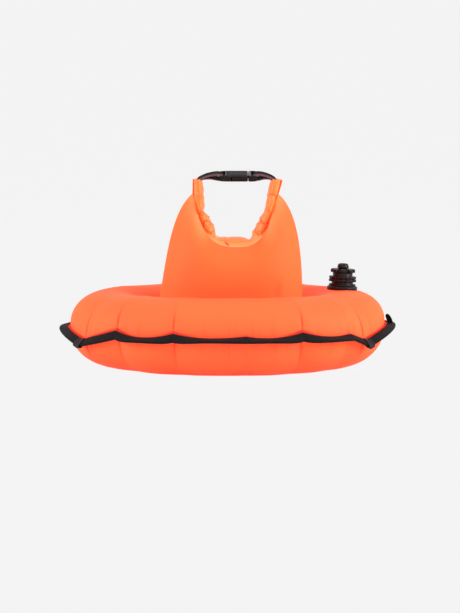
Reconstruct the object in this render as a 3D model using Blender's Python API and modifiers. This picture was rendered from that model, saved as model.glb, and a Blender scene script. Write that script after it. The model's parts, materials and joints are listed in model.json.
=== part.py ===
"""Open water swim buoy: an inflated ring float with a roll-top dry bag in its hole.

Metres, +Z up, the viewer's side is -Y. The origin is on the ground under the middle of the ring.
"""

import math

import bmesh
import bpy
import numpy as np
from mathutils import Matrix, Vector

# Cloth and clearances
SKIN = 0.0006                   # coated nylon
GAP = 0.0003                    # clearance between pieces that touch
OVERRUN = 0.002                 # how far every cutter runs past what it cuts

# Counts of points that smooth curves are read from
CURVE_SAMPLES = 2400
PLACE_SAMPLES = 1000
SPLINE_SAMPLES = 24

# Inflated ring
RING_LENGTH = 0.414
RING_WIDTH = 0.316
TUBE_WIDTH = 0.108
TUBE_HEIGHT = 0.0995
SEAM_HEIGHT = 0.0555
GROUND_PRESS = 0.0015           # how far the tube is pressed flat by the ground
PLAN_POWER = 2.2                # 2 is an ellipse, more is squarer
SECTION_POWER = 2.25
LOWER_POWER = 2.0
END_RISE = 0.0045               # how much higher the underside is at the ring's ends
END_RISE_POWER = 2.5            # more keeps the rise closer to the ends
RING_STEPS = 84
UPPER_ARCS = 8
LOWER_ARCS = 7                  # odd, so that two rows edge the flat band on the ground

# Outer seam: welded flange, folded tape, puckers
FLANGE_WIDTH = 0.0128
TAPE_WIDTH = 0.0098
TAPE_THICKNESS = 0.0008
TAPE_CLEARANCE = 0.00075
FRONT_DROOP = math.radians(44)
END_DROOP = math.radians(8)
PUCKERS = 14
PUCKER_PHASE = math.radians(40)
PUCKER_RISE = 0.0035
PUCKER_DENT = 0.0030
PUCKER_FADE_POWER = 6           # more keeps the puckers closer to the seam

# Leash loop
LEASH_WEB_WIDTH = 0.012
LEASH_WEB_THICKNESS = 0.0014
LEASH_HEIGHT = 0.0125
LEASH_WIDTH = 0.011
LEASH_STEPS = 15
LEASH_FOOT_SHARE = 0.42         # of a half turn, how far each end runs on under the loop
LEASH_PINCH_SHARE = 0.25        # how much narrower the loop is at its top

# Dry bag
MOUTH_MIDDLE = 0.012            # the roll's middle, to the right of the ring's
MOUTH_HALF = 0.051
MOUTH_DEPTH = 0.083
MOUTH_TIP = 0.2474
MOUTH_POWER = 2.6
LEFT_LEAN = 0.0025              # how far the left arm of the U leans in from its tip to its foot
RIGHT_LEAN = 0.011              # how far the right arm leans in from its tip to its foot
LEAN_FOOT_POWER = 4             # more keeps the lean straight for longer
PATH_STEP = math.radians(0.5)   # to either side, for the direction of the U
PANEL_REACH = math.radians(82)  # how far round the roll the bag's panels follow it
PANEL_HALF = 0.003
PANEL_CLEARANCE = 0.0006
SIDE_FOLD_CLEARANCE = 0.0015
BAG_BELLY = 0.010
SHOULDER_POWER = 5              # more keeps the tube's depth for longer below the mouth
BAG_RISE = 0.185
BAG_ARRIVE = 0.120
BAG_UPRIGHT_SHARE = 0.8
BAG_LEAN = 0.26                 # how far the tube leans in at the left of its foot
SIDE_BULGES = (0.002, 0.003)    # how far the tube stands out sideways, left and right
BAG_STEPS = 36
BAG_ROWS = 10
ROW_POWER = 1.5                 # more brings the rows closer together at the mouth
FLOOR_DROP = 0.0035

# Rolled mouth, with its stiffener
ROLL_THICKNESS = 0.015
ROLL_TURNS = 2
ROLL_PITCH = 0.0021
ROLL_FOLD = 0.0016
ROLL_CORE = 0.0098
ROLL_TURN_STEPS = 12
# Swellings and pinches along the roll, from its left end: share of the half turn, and how thick the
# U's inside is there as a share of the half thickness
ROLL_SWELL_SHARES = (
    (0, 0.85), (0.03, 1.14), (0.055, 0.97), (0.114, 0.92), (0.14, 0.55), (0.172, 0.91), (0.24, 1.16),
    (0.30, 0.84), (0.345, 0.50), (0.414, 0.78), (0.477, 1.09), (0.517, 1.08), (0.551, 0.71),
    (0.589, 0.50), (0.622, 0.60), (0.68, 1.16), (0.74, 1.23), (0.786, 1.13), (0.81, 1.30),
    (0.851, 0.79), (0.88, 0.94), (0.934, 1.16), (0.98, 1.13), (1, 0.87),
)
STIFFENER_WIDTH = 0.018
STIFFENER_THICKNESS = 0.0008
WEB_ROOT = 0.006                # how far the webbing runs down into the roll

# Webbing and buckle
WEB_WIDTH = 0.020
WEB_THICKNESS = 0.0013
WEB_STEPS = 26
BAR_TURN_STEPS = 7
WEB_OVAL_SHARE = 1.4            # how far the webbing stands off the bar, of its least clearance
WEB_START_SHARES = (0.02, 0.8)  # of the span along, and of the buckle's rise up
WEB_CREST_SHARES = (0.35, 1.15)  # of the span along, and of the loop's top up
WEB_RETURN_SHARES = (0.5, 0.7)  # of the span along, and of the loop's half height down
WEB_END_SHARE = 0.22            # of the span, where the return layer ends
HANDLE_TILT = math.radians(12)
BUCKLE_MIDDLE = 0.014
BUCKLE_RISE = 0.0040            # the buckle's middle above the roll's tips
BUCKLE_WIDTH = 0.025
BUCKLE_THICKNESS = 0.0085
BUCKLE_ROUND = 0.0016
SOCKET_LENGTH = 0.038
PLUG_LENGTH = 0.0118
BAR_WIDTH = 0.0035
BAR_THICKNESS = 0.0040
SLOT_WIDTH = 0.0046
SLOT_LENGTH = 0.0212
BUCKLE_WALL = 0.0014
SOCKET_END_WALL = 0.0025
WINDOW_LENGTH = 0.0130
WINDOW_HEIGHT = 0.0054
WINDOW_FROM_MOUTH = 0.0098
TONGUE_LENGTH = 0.0220
TONGUE_WIDTH = 0.0060
TONGUE_THICKNESS = 0.0030
ARM_THICKNESS = 0.0018
ARM_HEIGHT = 0.0046
ARM_PLACE = 0.0082              # the arm's middle from the buckle's middle line
ARM_HEAD_INSIDE = 0.0080
ARM_BUTTON_PROUD = 0.0007
CATCH_SINK = 0.0001
BUTTON_CLEARANCE = 0.0003
BUTTON_CREST_SHARES = (0.4, -0.3)  # of the button's half length, where its crest starts and ends
HEAD_NOSE_SHARES = (0.15, 0.6)  # of the half length back, and of the arm's thickness in
HEAD_INSIDE_SHARE = 0.2         # of the half length, where the head's inner face starts
SOCKET_TAPER_SHARE = 0.22       # of the socket's length, over which it narrows to its bar
PLUG_TAPER_SHARE = 0.4

# Valve
VALVE_PLACE_SHARE = 0.043       # round the ring from its right end, towards the back
VALVE_OUTBOARD = 0.006
VALVE_LEAN = math.radians(2.8)
VALVE_SINK = 0.002
VALVE_FLAT_RADIUS = 0.032
FLANGE_RADIUS = 0.020
FLANGE_RIM = 0.0052
NECK_RADIUS = 0.01425
NECK_HEIGHT = 0.0110
CONE_HEIGHT = 0.0078
BORE_RADIUS = 0.0110
SPIGOT_WALL = 0.0012
SPIGOT_LENGTH = 0.0060
HOLE_CLEARANCE = 0.0005
HOLE_REACH = 0.006              # how far the skin's hole is cut below the flange's seat
GASKET_SINK = 0.0008
DISC_RADIUS = 0.01815
DISC_THICKNESS = 0.0052
DISC_TAPER = 0.0018             # how far the disc's underside draws in and up
DISC_GRIPS = 10
GRIP_DEPTH = 0.0016
GRIP_CHAMFER = 0.0006
STEM_CLEARANCE = 0.00035
STEM_LENGTH = 0.0100
UPPER_NECK_RADIUS = 0.01315
UPPER_NECK_HEIGHT = 0.0064
AIR_BORE_RADIUS = 0.0058
COLLAR_RADIUS = 0.0162
COLLAR_THICKNESS = 0.0051
COLLAR_LUGS = 8
COLLAR_LUG_DEPTH = 0.0022
RIM_POINTS = 4                  # on each lug or grip of a rim, half of them in its notch
TUBE_RADIUS = 0.0052
TUBE_WALL = 0.0013
TUBE_REACH = 0.0100
TUBE_STEPS = 20
DOME_RADIUS = 0.0069
DOME_HEIGHT = 0.0066
DOME_LIP = 0.0006               # flat lip between the bore and the dome
DOME_POINTS = 4
ORING_THICKNESS = 0.0009
ORING_WIDTH = 0.0009
ORING_DEPTH = 0.0027            # the groove's lower edge below the shoulder
FLAP_RADIUS = 0.0080
FLAP_THICKNESS = 0.0008
FLAP_SEAT = 0.0003
TURN_STEPS = 24

# Finishes: a colour and a roughness for each
FINISHES = {
    "ring": ((1.0, 0.22, 0.06, 1.0), 0.55),
    "bag": ((1.0, 0.20, 0.055, 1.0), 0.5),
    "tape": ((0.018, 0.016, 0.017, 1.0), 0.8),
    "web": ((0.024, 0.018, 0.019, 1.0), 0.75),
    "plastic": ((0.012, 0.012, 0.013, 1.0), 0.35),
    "strip": ((0.75, 0.75, 0.72, 1.0), 0.5),
    "rubber": ((0.06, 0.06, 0.065, 1.0), 0.7),
}


def clear_scene():
    """Remove every object, so that the file can be run again."""
    for obj in list(bpy.data.objects):
        bpy.data.objects.remove(obj, do_unlink=True)


def collection(name):
    """A collection of this name, linked to the scene."""
    group = bpy.data.collections.get(name) or bpy.data.collections.new(name)
    if name not in bpy.context.scene.collection.children:
        bpy.context.scene.collection.children.link(group)
    return group


def material(name, colour, roughness):
    """A Principled material in one colour. Nothing here is metal."""
    finish = bpy.data.materials.new(name)
    finish.use_nodes = True
    shader = finish.node_tree.nodes["Principled BSDF"]
    shader.inputs["Base Color"].default_value = colour
    shader.inputs["Roughness"].default_value = roughness
    shader.inputs["Metallic"].default_value = 0
    return finish


def place(mesh, name, finish=None, parent=None, matrix=None, group="swim_buoy"):
    """Link a mesh as a named object, with its finish, parent and place."""
    obj = bpy.data.objects.new(name, mesh)
    collection(group).objects.link(obj)
    if finish is not None:
        obj.data.materials.append(finish)
    if parent is not None:
        obj.parent = parent
    if matrix is not None:
        obj.matrix_local = matrix
    return obj


def cutter(mesh, name, parent=None, matrix=None):
    """Link a mesh as a hidden cutter."""
    obj = place(mesh, name, parent=parent, matrix=matrix, group="cutters")
    obj.hide_render = True
    obj.display_type = "WIRE"
    return obj


def guide(name, matrix, parent=None):
    """An empty that carries pieces, at a joint or a datum."""
    obj = bpy.data.objects.new(name, None)
    collection("swim_buoy").objects.link(obj)
    obj.parent = parent
    obj.matrix_local = matrix
    return obj


def cut(obj, tool, operation="DIFFERENCE"):
    """Add an exact Boolean with a cutter."""
    step = obj.modifiers.new(tool.name, "BOOLEAN")
    step.operation = operation
    step.solver = "EXACT"
    step.object = tool


def shell(obj, thickness, offset=-1):
    """Give an open surface its wall: inside it at -1, outside it at 1, and half each way at 0."""
    wall = obj.modifiers.new("wall", "SOLIDIFY")
    wall.thickness = thickness
    wall.offset = offset
    wall.use_even_offset = True


def bevel(obj, width, segments=1):
    """Round the sharp edges."""
    step = obj.modifiers.new("rounded", "BEVEL")
    step.width = width
    step.segments = segments
    step.limit_method = "ANGLE"


def smooth(obj, degrees=35):
    """Shade round faces smoothly, and keep the sharp edges."""
    obj.data.shade_smooth()
    obj.data.set_sharp_from_angle(angle=math.radians(degrees))


def lofted(name, loops, close_loops=True, close_rows=False, caps=False, turn_over=False):
    """Mesh through rows of points: quads between each row and the next.

    loops is rows x points x 3. close_loops joins the last point of a row to its first, close_rows
    joins the last row to the first, and caps fills the first and last rows. turn_over faces the
    quads the other way, split along the same diagonals.
    """
    loops = np.asarray(loops, dtype=float)
    rows, count = loops.shape[:2]
    index = np.arange(rows * count).reshape(rows, count)
    along = np.roll(index, -1, axis=1)
    if not close_loops:
        index_here, along = index[:, :-1], along[:, :-1]
    else:
        index_here = index
    if close_rows:
        low, low_next = index_here, along
        high = np.roll(index_here, -1, axis=0)
        high_next = np.roll(along, -1, axis=0)
    else:
        low, low_next = index_here[:-1], along[:-1]
        high, high_next = index_here[1:], along[1:]
    corners = [low, high, high_next, low_next] if turn_over else [low, low_next, high_next, high]
    quads = np.stack(corners, axis=-1).reshape(-1, 4).tolist()
    if caps:
        quads.append(index[0][::-1].tolist())
        quads.append(index[-1].tolist())
    mesh = bpy.data.meshes.new(name)
    mesh.from_pydata(loops.reshape(-1, 3).tolist(), [], quads)
    mesh.update()
    return mesh


def point_out(mesh):
    """Turn every face of a closed mesh outwards."""
    work = bmesh.new()
    work.from_mesh(mesh)
    bmesh.ops.recalc_face_normals(work, faces=work.faces)
    work.to_mesh(mesh)
    work.free()
    return mesh


def plate(name, outline, low, high):
    """A flat plate of this outline between two heights."""
    outline = np.asarray(outline, dtype=float)
    rows = [np.column_stack([outline, np.full(len(outline), level)]) for level in (low, high)]
    return point_out(lofted(name, rows, caps=True))


def block(name, low, high):
    """A box between two corners."""
    work = bmesh.new()
    bmesh.ops.create_cube(work, size=1)
    low, high = Vector(low), Vector(high)
    scale = Matrix.Diagonal((*(high - low), 1))
    bmesh.ops.transform(work, matrix=Matrix.Translation((low + high) / 2) @ scale, verts=work.verts)
    mesh = bpy.data.meshes.new(name)
    work.to_mesh(mesh)
    work.free()
    return mesh


def rod(name, radius, low, high, steps=TURN_STEPS):
    """An upright cylinder between two heights."""
    work = bmesh.new()
    bmesh.ops.create_cone(work, cap_ends=True, segments=steps, radius1=radius, radius2=radius,
                          depth=high - low, matrix=Matrix.Translation((0, 0, (low + high) / 2)))
    mesh = bpy.data.meshes.new(name)
    work.to_mesh(mesh)
    work.free()
    return mesh


def turned(name, profile, finish, parent, steps=TURN_STEPS, closed=True):
    """A turned piece: a profile of (radius, height), down its outer side, swept round Z."""
    mesh = bpy.data.meshes.new(name)
    count = len(profile)
    edges = [(i, i + 1) for i in range(count - 1)]
    if closed:
        edges.append((count - 1, 0))
    mesh.from_pydata([(radius, 0, height) for radius, height in profile], edges, [])
    obj = place(mesh, name, finish, parent)
    screw = obj.modifiers.new("turned", "SCREW")
    screw.steps = steps
    screw.render_steps = steps
    screw.use_merge_vertices = True
    screw.merge_threshold = 0.00001
    screw.use_smooth_shade = True
    return obj


def spline(points, count):
    """A smooth curve through points, sampled at equal lengths."""
    points = np.asarray(points, dtype=float)
    padded = np.vstack([2 * points[0] - points[1], points, 2 * points[-1] - points[-2]])
    fine = []
    for i in range(len(points) - 1):
        before, start, end, after = padded[i:i + 4]
        t = np.linspace(0, 1, SPLINE_SAMPLES, endpoint=False)[:, None]
        fine.append(0.5 * (2 * start + (end - before) * t
                           + (2 * before - 5 * start + 4 * end - after) * t ** 2
                           + (3 * start - before - 3 * end + after) * t ** 3))
    fine = np.vstack(fine + [points[-1:]])
    return even(fine, count, closed=False)


def even(points, count, closed):
    """Points at equal lengths along a polyline."""
    if closed:
        points = np.vstack([points, points[:1]])
    steps = np.linalg.norm(np.diff(points, axis=0), axis=1)
    length = np.concatenate([[0], np.cumsum(steps)])
    wanted = np.linspace(0, length[-1], count, endpoint=not closed)
    return np.column_stack([np.interp(wanted, length, column) for column in points.T])


def powered(angle, power):
    """Cosine and sine of a superellipse: 2 is a circle, more is squarer."""
    share = 2 / power
    cosine, sine = np.cos(angle), np.sin(angle)
    return np.sign(cosine) * np.abs(cosine) ** share, np.sign(sine) * np.abs(sine) ** share


def outward(points):
    """Unit normals that point out of a closed counterclockwise outline."""
    along = np.roll(points, -1, axis=0) - np.roll(points, 1, axis=0)
    along /= np.linalg.norm(along, axis=1)[:, None]
    return np.column_stack([along[:, 1], -along[:, 0]])


def ring_middle(count):
    """The tube's middle line in plan, with its outward normals, from the right end round the back."""
    half_x = (RING_LENGTH - TUBE_WIDTH) / 2
    half_y = (RING_WIDTH - TUBE_WIDTH) / 2
    cosine, sine = powered(np.linspace(0, 2 * math.pi, CURVE_SAMPLES, endpoint=False), PLAN_POWER)
    points = even(np.column_stack([half_x * cosine, half_y * sine]), count, closed=True)
    return points, outward(points)


def pucker_wave(count):
    """The seam's puckers: 1 where the tape rises, -1 where it drops."""
    turn = np.arange(count) * 2 * math.pi / count
    return np.cos(PUCKERS * turn + PUCKER_PHASE)


def valve_datum():
    """The valve's axis: its place on the ring and its lean, as a matrix."""
    middle, normal = ring_middle(PLACE_SAMPLES)
    step = int(round(VALVE_PLACE_SHARE * PLACE_SAMPLES))
    spot, out = middle[step], normal[step]
    reach, drop = VALVE_OUTBOARD / (TUBE_WIDTH / 2), 1 / SECTION_POWER
    height = SEAM_HEIGHT + (TUBE_HEIGHT - SEAM_HEIGHT) * (1 - reach ** SECTION_POWER) ** drop
    spot = spot + out * VALVE_OUTBOARD
    axis = Vector((math.sin(VALVE_LEAN) * out[0], math.sin(VALVE_LEAN) * out[1], math.cos(VALVE_LEAN)))
    side = Vector((0, 1, 0)).cross(axis).normalized()
    matrix = Matrix((side, axis.cross(side), axis)).transposed().to_4x4()
    matrix.translation = Vector((spot[0], spot[1], height)) - axis * VALVE_SINK
    return matrix


def seam_frame():
    """Outer seam points, the direction of its flange and the flange's normal, round the ring."""
    middle, normal = ring_middle(RING_STEPS)
    wave = pucker_wave(RING_STEPS)
    level = SEAM_HEIGHT + PUCKER_RISE * wave
    seam = np.column_stack([middle + normal * TUBE_WIDTH / 2, level])
    facing = np.abs(normal[:, 1]) ** 2
    droop = END_DROOP + (FRONT_DROOP - END_DROOP) * facing
    out = np.column_stack([normal * np.cos(droop)[:, None], -np.sin(droop)])
    up = np.column_stack([normal * np.sin(droop)[:, None], np.cos(droop)])
    return seam, out, up


def ring_panel(upper):
    """Inner face of one of the ring's skins: rows from the flange's edge to the inner seam."""
    middle, normal = ring_middle(RING_STEPS)
    wave = pucker_wave(RING_STEPS)
    seam, out, up = seam_frame()
    side = 1 if upper else -1
    lift = side * GAP / 2
    ends = np.abs(middle[:, 0] * 2 / (RING_LENGTH - TUBE_WIDTH)) ** END_RISE_POWER
    rise = TUBE_HEIGHT - SEAM_HEIGHT if upper else SEAM_HEIGHT + GROUND_PRESS - END_RISE * ends
    rows = [seam + out * FLANGE_WIDTH + up * lift]
    for angle in np.linspace(0, math.pi, (UPPER_ARCS if upper else LOWER_ARCS) + 1):
        across, height = powered(np.array(angle), SECTION_POWER if upper else LOWER_POWER)
        fade = math.cos(angle / 2) ** PUCKER_FADE_POWER
        dent = PUCKER_DENT * (1 - np.abs(wave)) * fade * math.sin(angle)
        reach = (TUBE_WIDTH / 2 - SKIN) * across - dent
        level = SEAM_HEIGHT + lift + PUCKER_RISE * wave * fade + side * (rise - SKIN) * height
        rows.append(np.column_stack([middle + normal * reach[:, None], level]))
    rows = np.array(rows)
    if upper:
        flatten_under_valve(rows)
    else:
        rows[..., 2] = np.maximum(rows[..., 2], SKIN)
    return rows


def flatten_under_valve(rows):
    """Press the skin down to the plane of the valve's flange, near the valve only."""
    datum = valve_datum()
    axis = np.array(datum.col[2][:3])
    origin = np.array(datum.translation) - axis * SKIN
    above = (rows - origin) @ axis
    away = np.linalg.norm(rows - origin, axis=-1)
    press = np.where((away < VALVE_FLAT_RADIUS) & (above > 0), above, 0)
    rows -= press[..., None] * axis


def ring_panels(finishes, valve):
    """Upper and lower skins of the inflated ring."""
    upper = place(lofted("ring_upper_panel", ring_panel(True)), "ring_upper_panel", finishes["ring"])
    shell(upper, SKIN, 1)
    hole_radius = BORE_RADIUS + SPIGOT_WALL + HOLE_CLEARANCE
    hole = rod("valve_hole", hole_radius, -HOLE_REACH, OVERRUN)
    cut(upper, cutter(hole, "valve_hole", parent=valve))
    lower_skin = lofted("ring_lower_panel", ring_panel(False), turn_over=True)
    lower = place(lower_skin, "ring_lower_panel", finishes["ring"])
    shell(lower, SKIN, 1)
    for panel in (upper, lower):
        smooth(panel)


def edge_binding(finishes):
    """Tape folded over the flange: a U section carried round the seam."""
    seam, out, up = seam_frame()
    inner = SKIN + TAPE_CLEARANCE
    outer = inner + TAPE_THICKNESS
    edge = FLANGE_WIDTH + GAP
    start = edge + TAPE_THICKNESS - TAPE_WIDTH
    section = [(start, outer), (edge, outer), (edge + TAPE_THICKNESS, 0), (edge, -outer),
               (start, -outer), (start, -inner), (edge, -inner), (edge, inner), (start, inner)]
    rows = [seam + out * reach + up * height for reach, height in section]
    binding = place(point_out(lofted("edge_binding", rows, close_rows=True)), "edge_binding",
                    finishes["tape"])
    smooth(binding, 50)


def strip(name, path, width, thickness, finish, parent=None, matrix=None):
    """Webbing along a path of (x, z) points: a ribbon of this width along Y, with its wall."""
    path = np.asarray(path)
    rows = [np.column_stack([path[:, 0], np.full(len(path), y), path[:, 1]])
            for y in (-width / 2, width / 2)]
    mesh = lofted(name, rows, close_loops=False)
    obj = place(mesh, name, finish, parent, matrix)
    shell(obj, thickness, 0)
    smooth(obj, 50)
    return obj


def leash_loop(finishes):
    """Short webbing loop that stands on the tape at the right end."""
    seam, out, up = seam_frame()
    foot_x = seam[0][0] + out[0][0] * (FLANGE_WIDTH - TAPE_WIDTH / 2)
    foot_z = seam[0][2] + out[0][2] * (FLANGE_WIDTH - TAPE_WIDTH / 2)
    foot_z += SKIN + TAPE_CLEARANCE + TAPE_THICKNESS + GAP + LEASH_WEB_THICKNESS / 2
    half = LEASH_WIDTH / 2 - LEASH_WEB_THICKNESS / 2
    top = LEASH_HEIGHT - LEASH_WEB_THICKNESS
    turn = np.linspace(-LEASH_FOOT_SHARE, 1 + LEASH_FOOT_SHARE, LEASH_STEPS) * math.pi
    across = half * np.cos(turn) * (1 - LEASH_PINCH_SHARE * np.sin(turn))
    path = np.column_stack([foot_x + across, foot_z + top / 2 + top / 2 * np.sin(turn)])
    strip("leash_loop", path, LEASH_WEB_WIDTH, LEASH_WEB_THICKNESS, finishes["web"])


def mouth_line(angle):
    """Points on the U of the rolled mouth, in the XZ plane.

    The angle runs from the left tip at -90 degrees through the lowest point to the right tip. The U
    is half a superellipse whose arms lean in, the right one further.
    """
    drop, reach = powered(angle, MOUTH_POWER)
    lean = np.where(angle > 0, -RIGHT_LEAN, LEFT_LEAN) * drop * (1 - drop ** LEAN_FOOT_POWER)
    return np.column_stack([MOUTH_MIDDLE + MOUTH_HALF * reach + lean, MOUTH_TIP - MOUTH_DEPTH * drop])


def mouth_path(angle):
    """The roll's middle line and its outward normal."""
    angle = np.asarray(angle, dtype=float)
    along = mouth_line(angle + PATH_STEP) - mouth_line(angle - PATH_STEP)
    along /= np.linalg.norm(along, axis=1)[:, None]
    return mouth_line(angle), np.column_stack([along[:, 1], -along[:, 0]])


def panel_angles():
    """Where the bag's panels meet the roll, from left to right."""
    return np.linspace(-PANEL_REACH, PANEL_REACH, BAG_STEPS // 2 + 1)


def inner_seam(inset, count):
    """The ring's inner seam in plan, pulled in by an inset, at equal lengths."""
    middle, normal = ring_middle(RING_STEPS)
    return even(middle - normal * (TUBE_WIDTH / 2 + inset), count, closed=True)


def swelling(t, power):
    """A swelling between 0 and 1, by t to a power times 1 - t, that is 1 where it is highest."""
    crest = power / (power + 1)
    return t ** power * (1 - t) / (crest ** power * (1 - crest))


def bag_wall(finishes):
    """The bag's tube: a loft from the oval seam up to the flattened, U-shaped mouth.

    It keeps its depth up to a shoulder, where it turns in over the roll as a superellipse does.
    """
    foot = inner_seam(GAP, BAG_STEPS)
    foot_level = SEAM_HEIGHT - FLOOR_DROP + GAP
    angles = panel_angles()
    half = BAG_STEPS // 2
    order = np.concatenate([np.arange(half, -1, -1), np.arange(1, half)])
    point, normal = mouth_path(angles)
    side = np.concatenate([[0], np.ones(half - 1), [0], -np.ones(half - 1)])
    clear = np.where(side == 0, SIDE_FOLD_CLEARANCE, PANEL_CLEARANCE)
    edge = point[order] + normal[order] * (ROLL_THICKNESS / 2 + clear)[:, None]
    inward = -normal[order]
    turn = np.arange(BAG_STEPS) * 2 * math.pi / BAG_STEPS
    right = (angles[order] / PANEL_REACH + 1) / 2
    lean = BAG_LEAN * (1 - right)
    arrive = inward + np.array([0, 1])
    arrive /= np.linalg.norm(arrive, axis=1)[:, None]
    left_bulge, right_bulge = SIDE_BULGES
    sideways = np.where(np.cos(turn) > 0, right_bulge, -left_bulge) * np.cos(turn) ** 2
    rows = []
    for t in 1 - np.linspace(1, 0, BAG_ROWS + 1) ** ROW_POWER:
        start, end = 2 * t ** 3 - 3 * t ** 2 + 1, 3 * t ** 2 - 2 * t ** 3
        leave, reach = t ** 3 - 2 * t ** 2 + t, t ** 3 - t ** 2
        x = start * foot[:, 0] + end * edge[:, 0]
        x += BAG_RISE * leave * lean + BAG_ARRIVE * reach * arrive[:, 0]
        x += swelling(t, 2) * sideways
        z = start * foot_level + end * edge[:, 1]
        z += BAG_RISE * BAG_UPRIGHT_SHARE * leave + BAG_ARRIVE * reach * arrive[:, 1]
        hold = math.sqrt(1 - t ** SHOULDER_POWER)
        y = (foot[:, 1] + BAG_BELLY * t * np.sin(turn)) * hold + side * PANEL_HALF * (1 - hold)
        rows.append(np.column_stack([x, y, z]))
    wall = place(lofted("bag_wall", rows), "bag_wall", finishes["bag"])
    shell(wall, SKIN)
    smooth(wall)


def bag_floor(finishes):
    """The bag's bottom, welded in the ring's hole."""
    top = SEAM_HEIGHT - FLOOR_DROP
    outline = inner_seam(GAP * 2, BAG_STEPS)
    place(plate("bag_floor", outline, top - SKIN, top), "bag_floor", finishes["bag"])


def roll_section():
    """The rolled mouth's section: a flattened spiral band, as (depth, across) points."""
    last = ROLL_THICKNESS / 2 - ROLL_FOLD / 2
    first = last - ROLL_TURNS * ROLL_PITCH
    turn = np.linspace(0, ROLL_TURNS, ROLL_TURNS * ROLL_TURN_STEPS + 1)
    angle = turn * 2 * math.pi + math.pi / 2
    faces = []
    for offset in (ROLL_FOLD / 2, -ROLL_FOLD / 2):
        radius = first + ROLL_PITCH * turn + offset
        faces.append(np.column_stack([(ROLL_CORE + radius) * np.cos(angle), radius * np.sin(angle)]))
    return np.vstack([faces[0], faces[1][::-1]])


def swept(name, section, angles, swell=None):
    """A section of (depth, across) points carried along the mouth's U.

    swell scales the half of each section that faces the inside of the U.
    """
    point, normal = mouth_path(angles)
    if swell is None:
        swell = np.ones(len(angles))
    rows = []
    for here, out, scale in zip(point, normal, swell):
        across = np.where(section[:, 1] < 0, section[:, 1] * scale, section[:, 1])
        x = here[0] + across * out[0]
        z = here[1] + across * out[1]
        rows.append(np.column_stack([x, section[:, 0], z]))
    return point_out(lofted(name, rows, caps=True))


def roll_collar(finishes):
    """The rolled mouth, its ends raised into two horns."""
    quarter = math.pi / 2
    angles = np.concatenate([[-quarter], panel_angles(), [quarter]])
    place_shares, swell_shares = np.array(ROLL_SWELL_SHARES).T
    swell = np.interp(angles / math.pi + 1 / 2, place_shares, swell_shares)
    mesh = swept("roll_collar", roll_section(), angles, swell)
    roll = place(mesh, "roll_collar", finishes["bag"])
    smooth(roll)


def mouth_stiffener(finishes):
    """The plastic strip in the middle of the roll."""
    half_y, half_n = STIFFENER_WIDTH / 2, STIFFENER_THICKNESS / 2
    section = np.array([(-half_y, -half_n), (half_y, -half_n), (half_y, half_n), (-half_y, half_n)])
    place(swept("mouth_stiffener", section, panel_angles()), "mouth_stiffener", finishes["strip"])


def webbing(finishes, handle):
    """A webbing loop at each end: up out of the roll, over the buckle's bar and back."""
    clear = GAP + WEB_THICKNESS / 2
    corner = clear * math.sqrt(0.5)
    upright = BAR_THICKNESS / 2 + clear * WEB_OVAL_SHARE
    along = (BAR_WIDTH / 2 + corner) / math.sqrt(1 - ((BAR_THICKNESS / 2 + corner) / upright) ** 2)
    bars = {"webbing_left": (BUCKLE_MIDDLE - (SOCKET_LENGTH + PLUG_LENGTH) / 2 + BAR_WIDTH / 2, -1),
            "webbing_right": (BUCKLE_MIDDLE + (SOCKET_LENGTH + PLUG_LENGTH) / 2 - BAR_WIDTH / 2, 1)}
    for name, (bar, side) in bars.items():
        tip = MOUTH_MIDDLE + side * MOUTH_HALF
        span = abs(tip - bar)
        inside = -side
        top = BUCKLE_RISE + upright
        start_along, start_up = WEB_START_SHARES
        crest_along, crest_up = WEB_CREST_SHARES
        return_along, return_down = WEB_RETURN_SHARES
        out = mouth_path([side * math.pi / 2])[1][0] * side * WEB_ROOT
        route = [(tip + out[1], -out[0]), (tip, 0),
                 (tip + inside * span * start_along, BUCKLE_RISE * start_up),
                 (tip + inside * span * crest_along, top * crest_up)]
        for angle in np.linspace(math.pi / 2, -math.pi / 2, BAR_TURN_STEPS):
            route.append((bar + inside * along * math.cos(angle),
                          BUCKLE_RISE + upright * math.sin(angle)))
        route += [(tip + inside * span * return_along, BUCKLE_RISE - upright * return_down),
                  (tip + inside * span * WEB_END_SHARE, BUCKLE_RISE)]
        strip(name, spline(route, WEB_STEPS), WEB_WIDTH, WEB_THICKNESS, finishes["web"], parent=handle)


def side_arm(side):
    """Outline of a latch arm in plan, from its root to its head, with the button and the catch."""
    split = SOCKET_LENGTH
    mouth_to_catch = WINDOW_FROM_MOUTH + BUTTON_CLEARANCE
    root = split - GAP / 2
    catch = split - mouth_to_catch
    head = split - WINDOW_FROM_MOUTH - WINDOW_LENGTH + BUTTON_CLEARANCE
    inner = ARM_PLACE - ARM_THICKNESS / 2
    outer = ARM_PLACE + ARM_THICKNESS / 2
    flush = BUCKLE_WIDTH / 2 - CATCH_SINK
    proud = BUCKLE_WIDTH / 2 + ARM_BUTTON_PROUD
    middle = (catch + head) / 2
    half = (catch - head) / 2
    crest_start, crest_end = BUTTON_CREST_SHARES
    nose_back, nose_in = HEAD_NOSE_SHARES
    points = [(root, inner), (root, outer), (catch, outer), (catch, flush),
              (middle + half * crest_start, proud), (middle + half * crest_end, proud),
              (head + half * nose_back, flush - ARM_THICKNESS * nose_in),
              (head, ARM_HEAD_INSIDE + ARM_THICKNESS * nose_in),
              (head + half * HEAD_INSIDE_SHARE, ARM_HEAD_INSIDE), (catch, inner)]
    return [(x, side * y) for x, y in points]


def buckle_outline(start, end, narrow_end):
    """Outline of a buckle half in plan: full width, drawn in towards its webbing bar."""
    half = BUCKLE_WIDTH / 2
    nip = half - BUCKLE_ROUND
    if narrow_end == "start":
        shoulder = start + (end - start) * SOCKET_TAPER_SHARE
        return [(start, -nip), (shoulder, -half), (end, -half), (end, half), (shoulder, half), (start, nip)]
    shoulder = end - (end - start) * PLUG_TAPER_SHARE
    return [(start, -half), (shoulder, -half), (end, -nip), (end, nip), (shoulder, half), (start, half)]


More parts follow.
